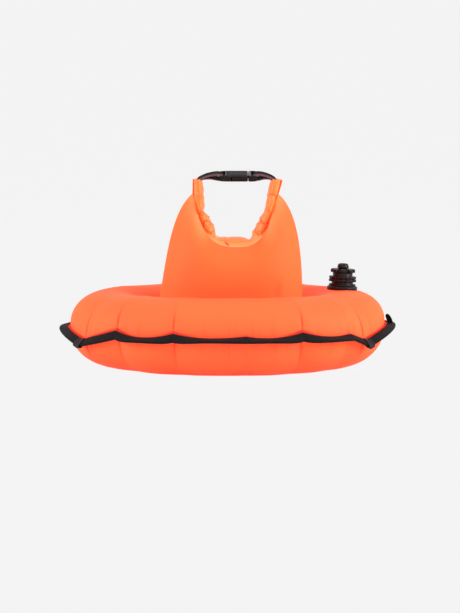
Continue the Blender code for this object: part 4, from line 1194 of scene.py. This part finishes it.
def leash_loop(finish):
    """Short webbing loop on the tape at the right end, pressed nearly flat against the ring.

    Its path is a closed teardrop: an ellipse that narrows towards the tape, leaning over the ring.
    """
    low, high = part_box("leash_loop")
    turn = np.linspace(-LEASH_TURN_SHARE, LEASH_TURN_SHARE, LEASH_STEPS) * math.pi
    u = LEASH_HALF_LENGTH * np.cos(turn)
    knob = LEASH_KNOB * np.clip(np.cos(turn), 0, 1) ** LEASH_KNOB_POWER
    v = LEASH_HALF_GAP * np.sin(turn) * (1 + knob)
    lean = Matrix.Rotation(LEASH_LEAN, 2)
    path = np.column_stack([u, v]) @ np.array(lean).T + ((low.x + high.x) / 2 - LEASH_IN, LEASH_HEIGHT)
    loop = ribbon("leash_webbing", path, LEASH_WEB_WIDTH, LEASH_WEB_THICKNESS, finish)
    join_frame(loop, "float", "webbing", "leash_loop")


def close_eye(work):
    """Close the small opening in the middle of the bag's bottom."""
    near = FLOOR_EYE_SHARE * RING_LENGTH
    bmesh.ops.holes_fill(work, edges=[edge for edge in work.edges if edge.is_boundary
                                      and all(vert.co.xy.length < near for vert in edge.verts)])


def bag_base(finish):
    """The bag's bottom: a sheet inside the inner seam that sags a little in its middle."""
    edge = inner_seam(FLOOR_POINTS)
    level = SEAM_HEIGHT - FLOOR_DROP
    rows = []
    for share in np.linspace(1, FLOOR_EYE_SHARE, FLOOR_ROWS):
        sag = FLOOR_SAG * (1 - share ** 2)
        rows.append(np.column_stack([edge * share, np.full(len(edge), level - sag)]))
    points = np.array(rows)
    base = surface("bag_base", points, finish, lengths(edge, closed=True), lengths(points[:, 0]))
    reworked(base, close_eye)
    wall(point_out(base), SKIN, 0)
    join_frame(base, "float", "bag_nylon", "bag_floor")


def light(name, place, energy, size):
    """A soft lamp that points at the object."""
    lamp = bpy.data.lights.new(name, "AREA")
    lamp.energy = energy
    lamp.size = size
    obj = placed(name, lamp)
    obj.location = place
    obj.rotation_euler = (Vector(LIGHT_AIM) - Vector(place)).to_track_quat("-Z", "Y").to_euler()


def backdrop():
    """Pale world: a little light all round, and the paper's own tone where it is seen."""
    world = bpy.data.worlds.new("studio")
    bpy.context.scene.world = world
    tree = Tree(world, "Background")
    ambient = tree.node("ShaderNodeBackground", values={"Color": (1, 1, 1, 1), "Strength": AMBIENT})
    shown = tree.node("ShaderNodeBackground", values={"Color": BACKDROP})
    tree.shade("World Output", tree.seen_rays(), ambient, shown)


def paper_floor():
    """Pale paper on the ground, which nearly disappears into the world behind it."""
    bpy.ops.mesh.primitive_plane_add(size=FLOOR_SIZE, location=(0, 0, 0))
    floor = bpy.context.object
    floor.name = "studio_floor"
    paper = bpy.data.materials.new("pale_paper")
    tree = Tree(paper, "Principled BSDF")
    matt = tree.node("ShaderNodeBsdfDiffuse", values={"Color": PAPER})
    glow = tree.node("ShaderNodeEmission", values={"Color": BACKDROP})
    tree.shade("Material Output", tree.seen_rays() * PAPER_GLOW_SHARE, matt, glow)
    floor.data.materials.append(paper)


def studio():
    """The stage, its soft lamps and the camera at the photograph's angle."""
    scene = bpy.context.scene
    scene.view_settings.view_transform = "Standard"
    backdrop()
    paper_floor()
    for lamp in LAMPS:
        light(*lamp)
    camera = bpy.data.cameras.new("camera")
    camera.sensor_width = SENSOR
    camera.lens = SENSOR * CAMERA_DISTANCE / (VIEW_HEIGHT_PIXELS * PIXEL)
    eye = placed("camera", camera)
    back = Vector((0, -math.cos(CAMERA_RISE), math.sin(CAMERA_RISE)))
    eye.location = Vector(CAMERA_AIM) + back * CAMERA_DISTANCE
    eye.rotation_euler = (-back).to_track_quat("-Z", "Y").to_euler()
    camera.clip_end = CAMERA_REACH
    scene.camera = eye


def valve_place():
    """The valve's axis and the middle of its seat, from the record's own joint."""
    joint = next(j for j in frame["joints"] if j["name"] == "valve_unscrew")
    axis = Vector(joint["axis"]).normalized()
    side = Vector((0, 1, 0)).cross(axis).normalized()
    matrix = Matrix((side, axis.cross(side), axis)).transposed().to_4x4()
    matrix.translation = Vector(joint["pos_m"])
    return np.array(joint["pos_m"]), np.array(axis), matrix


def build():
    """Make every piece and put it in the frame."""
    ring_cloth = coated_nylon("ring_nylon", (1.0, 0.210, 0.054, 1), (1.0, 0.186, 0.044, 1), 0.50, 0.16)
    bag_cloth = coated_nylon("bag_nylon", (1.0, 0.200, 0.040, 1), (1.0, 0.180, 0.030, 1), 0.46, 0.18)
    # The roll is the bag's cloth painted paler and yellower: painted light, where the roll faces up and
    # catches the light
    roll_cloth_painted_light = coated_nylon("roll_nylon_painted_light", (1.0, 0.300, 0.036, 1), (1.0, 0.235, 0.024, 1), 0.24, 0.46)
    tape = ribbed_tape("ribbed_tape", (0.0045, 0.0035, 0.004, 1), (0.019, 0.014, 0.015, 1))
    knot = ribbed_tape("knotted_tape", (0.020, 0.016, 0.017, 1), (0.060, 0.050, 0.052, 1))
    web = black_webbing()
    buckle_black = moulded_plastic("buckle_plastic", 0.24, 0.13, (0.010, 0.007, 0.008, 1))
    valve_black = moulded_plastic("valve_plastic", 0.34, 0.20, (0.008, 0.005, 0.006, 1))

    upper = reworked(ring_skin("ring_upper_skin", True, ring_cloth, UPPER_SEED), pierce_for_valve)
    join_frame(wall(upper, SKIN), "float", "ring_nylon", "ring_upper_panel")
    lower = ring_skin("ring_lower_skin", False, ring_cloth, LOWER_SEED)
    join_frame(wall(lower, SKIN), "float", "ring_nylon", "ring_lower_panel")
    folded_tape("binding_tape", tape, 0, 1, 0, "edge_binding")
    reach = TAB_LENGTH / 2 / lengths(outer_seam(PLACE_SAMPLES), closed=True)[-1]
    for name, x in zip(("tape_tab_left", "tape_tab_right"), TAB_PLACES):
        centre = place_at(x, FRONT_HALF)
        folded_tape(name, knot, centre - reach, centre + reach, TAB_PROUD)
    leash_loop(web)
    bag = bag_skin(bag_cloth)
    join_frame(wall(bag, SKIN), "float", "bag_nylon", "bag_wall")
    bag_base(bag_cloth)
    rolled_mouth(roll_cloth_painted_light)
    repaint("mouth_stiffener", white_strip())
    tilt = Matrix.Translation((0, 0, MOUTH_TIP)) @ Matrix.Rotation(HANDLE_TILT, 4, "X")
    webbing(web, tilt)
    buckle(buckle_black, tilt)
    valve(valve_black, seal_rubber())


COURSE = course_table()
VALVE_POINT, VALVE_AXIS, VALVE_MATRIX = valve_place()
build()
studio()
